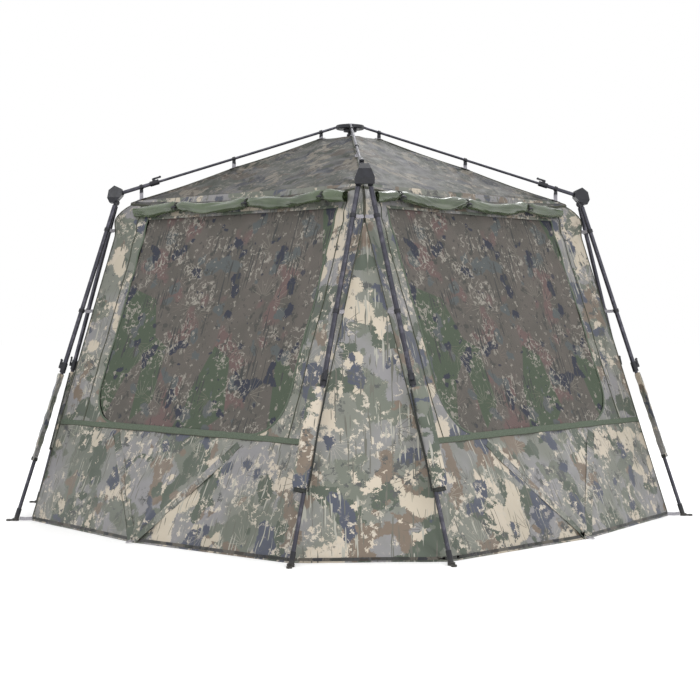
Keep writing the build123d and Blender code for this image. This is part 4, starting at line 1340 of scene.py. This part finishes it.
def make_sleeve(leg, materials, seed):
    """A flat pocket of the wall fabric that the lower pole runs in, with a dark binding at its lower end and
    a dark strip down its corner-side edge that is painted shadow of its open slit.
    """
    corner, side = LEG_CORNER[leg]
    start, down, sideways, outer, length = leg_axes(corner, side)
    away_from_corner = corner_axes(CORNERS[corner]) @ np.array([0.0, side, 0.0])
    into_wall = sideways * (-1.0 if float(sideways @ away_from_corner) < 0 else 1.0)
    angle = circle_angles(28)[None, :]

    def at(share, wide, thick):
        """Points down the pole by a share of its length, off it towards the wall and outwards."""
        line = start + down * np.asarray(share)[..., None] * length
        return line + into_wall * np.asarray(wide)[..., None] + outer * np.asarray(thick)[..., None]

    def sleeve_cloth(share, panel):
        round_pole, along, third = np.broadcast_arrays(0.030 * angle, share * length, panel)
        return np.stack([round_pole, along, third], axis=-1)

    share = np.linspace(0.552, 0.818, 60)[:, None]
    level = (share - share[0]) / (share[-1] - share[0])
    taper = 1.0 - 0.28 * smooth((level - 0.90) / 0.10) - 0.10 * smooth((0.05 - level) / 0.05)
    wide = 0.036 * taper * np.cos(angle) + 0.020
    thick = (0.0142 + 0.0010 * np.sin(9.0 * level + seed)) * np.sin(angle)
    thick = thick * (1.0 - 0.50 * smooth((wide - 0.012) / 0.040))
    wrinkle = 0.0011 * np.sin(3 * angle + 40.0 * level + seed) + 0.0008 * np.sin(5 * angle - 25.0 * level)
    thick = thick + wrinkle * np.sin(angle)
    mesh = Mesh()
    mesh.tube_shape(at(share, wide, thick), sleeve_cloth(share, seed * 0.9), 0)
    share = np.linspace(0.809, 0.8185, 5)[:, None]
    wide = 0.0275 * np.cos(angle) + 0.018
    thick = 0.0160 * np.sin(angle) * (1.0 - 0.40 * smooth((wide - 0.012) / 0.040))
    mesh.tube_shape(at(share, wide, thick), sleeve_cloth(share, 0.0), 1)
    # A dark strip down the sleeve's corner-side edge: painted shadow of the open slit, where the pole's
    # shadow shows.
    share = np.linspace(0.556, 0.815, 40)
    wander = 0.0015 * np.sin(31.0 * share + seed)
    facing = repeated(unit_vector(outer - into_wall * 0.9), 40)
    mesh.ribbon(at(share, -0.0150 - wander, 0.0105 + 0.0 * share), facing, 0.009, 0.0016, 1)
    piece = mesh.build(f"pole_sleeve_{leg}", [materials["corner"], materials["tie"]])
    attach(piece, f"leg_{leg}")
    return piece


def make_hem_strap(leg, materials):
    """Webbing from the hem corner to the foot."""
    corner, side = LEG_CORNER[leg]
    azimuth = CORNERS[corner]
    start, down, _, outer, length = leg_axes(corner, side)
    hem = on_wall(azimuth, hem_radial, side * hem_side, 0.012)
    end = start + down * (length - 0.016) - outer * 0.014
    halfway = hem + (end - hem) * 0.5 - UP * 0.003
    path = spaced([hem - outer * 0.004, halfway, end], np.linspace(0.0, 1.0, 16))
    mesh = Mesh()
    across = unit_vector(np.cross(end - hem, UP))
    mesh.ribbon(path, repeated(across, 16), 0.016, strap_thickness, 0)
    piece = mesh.build(f"hem_strap_{leg}", [materials["webbing"]])
    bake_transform(piece)
    return piece


def make_peg_loop(wall, azimuth, materials):
    """The loop in the middle of a hem that a ground peg goes through."""
    outward = wall_direction(azimuth - 90.0)
    along = wall_direction(azimuth)
    angle = np.linspace(0.0, math.pi, 21)[:, None]
    path = outward * (peg_out - 0.004 + 0.034 * np.sin(angle)) - along * (0.011 * np.cos(angle))
    path = path + UP * (0.010 - 0.005 * np.sin(angle))
    mesh = Mesh()
    mesh.ribbon(path, repeated(UP, 21), 0.008, strap_thickness, 0)
    piece = mesh.build(f"peg_loop_{wall}", [materials["webbing"]])
    gather_to_leg(piece, wall_leg(wall, 1), along)
    return piece


# ---------- put everything together ----------
def dress_cad(materials):
    """Procedural materials on the CAD nodes that stay in sight."""
    finishes = {
        "hub_body": "plastic",
        "hub_cap": "plastic",
        "hub_hinge_pins": "steel",
        "knuckle": "plastic",
        "arm_inner_tube": "tube",
        "arm_outer_tube": "arm_outer",
        "arm_lock_lever": "lever",
        "upper_leg": "upper_leg",
        "lower_leg": "lower",
        "leg_lock_lever": "lever",
    }
    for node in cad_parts:
        for start, finish in finishes.items():
            if node.startswith(start):
                piece = bpy.data.objects[node]
                if not piece.material_slots:
                    piece.data.materials.append(materials[finish])
                for place in piece.material_slots:
                    place.material = materials[finish]
                bevel = piece.modifiers.new("soft_edges", "BEVEL")
                bevel.width = 0.0007
                bevel.segments = 2
                bevel.limit_method = "ANGLE"
                bevel.angle_limit = math.radians(35.0)
                bevel.harden_normals = False


make_camera()
make_studio()
materials = make_materials()
for index, (wall, azimuth) in enumerate(WALLS.items()):
    seed = wall_seed + index
    for sign in (-1, 1):
        for make_cloth in (make_upper_wall, make_skirt):
            cloth = make_cloth(wall, azimuth, sign, materials, seed)
            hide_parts(f"side_wall_{wall}")
        make_wall_trim(wall, azimuth, sign, materials, seed)
        roll = make_roll(wall, azimuth, sign, materials, seed)
        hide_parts("rolled_storm_panels")
        make_ties(wall, azimuth, sign, materials)
    make_window(wall, azimuth, materials, seed)
    loop = make_peg_loop(wall, azimuth, materials)
    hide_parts("hem_straps_and_loops")
for index, (corner, azimuth) in enumerate(CORNERS.items()):
    for side_sign in (-1, 1):
        half = make_corner_half(corner, azimuth, side_sign, materials, corner_seed + index)
        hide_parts(f"corner_panel_{corner}")
        roof = make_roof_half(corner, azimuth, side_sign, materials)
        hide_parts("roof_canopy")
    make_hang_straps(corner, azimuth, materials)
for index, leg in enumerate(sorted(LEG_CORNER)):
    clips = make_leg_clips(leg, materials)
    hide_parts("pole_clip_tabs")
    make_sleeve(leg, materials, index)
    strap = make_hem_strap(leg, materials)
    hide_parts("hem_straps_and_loops")
make_hub_strap(materials)
dress_cad(materials)
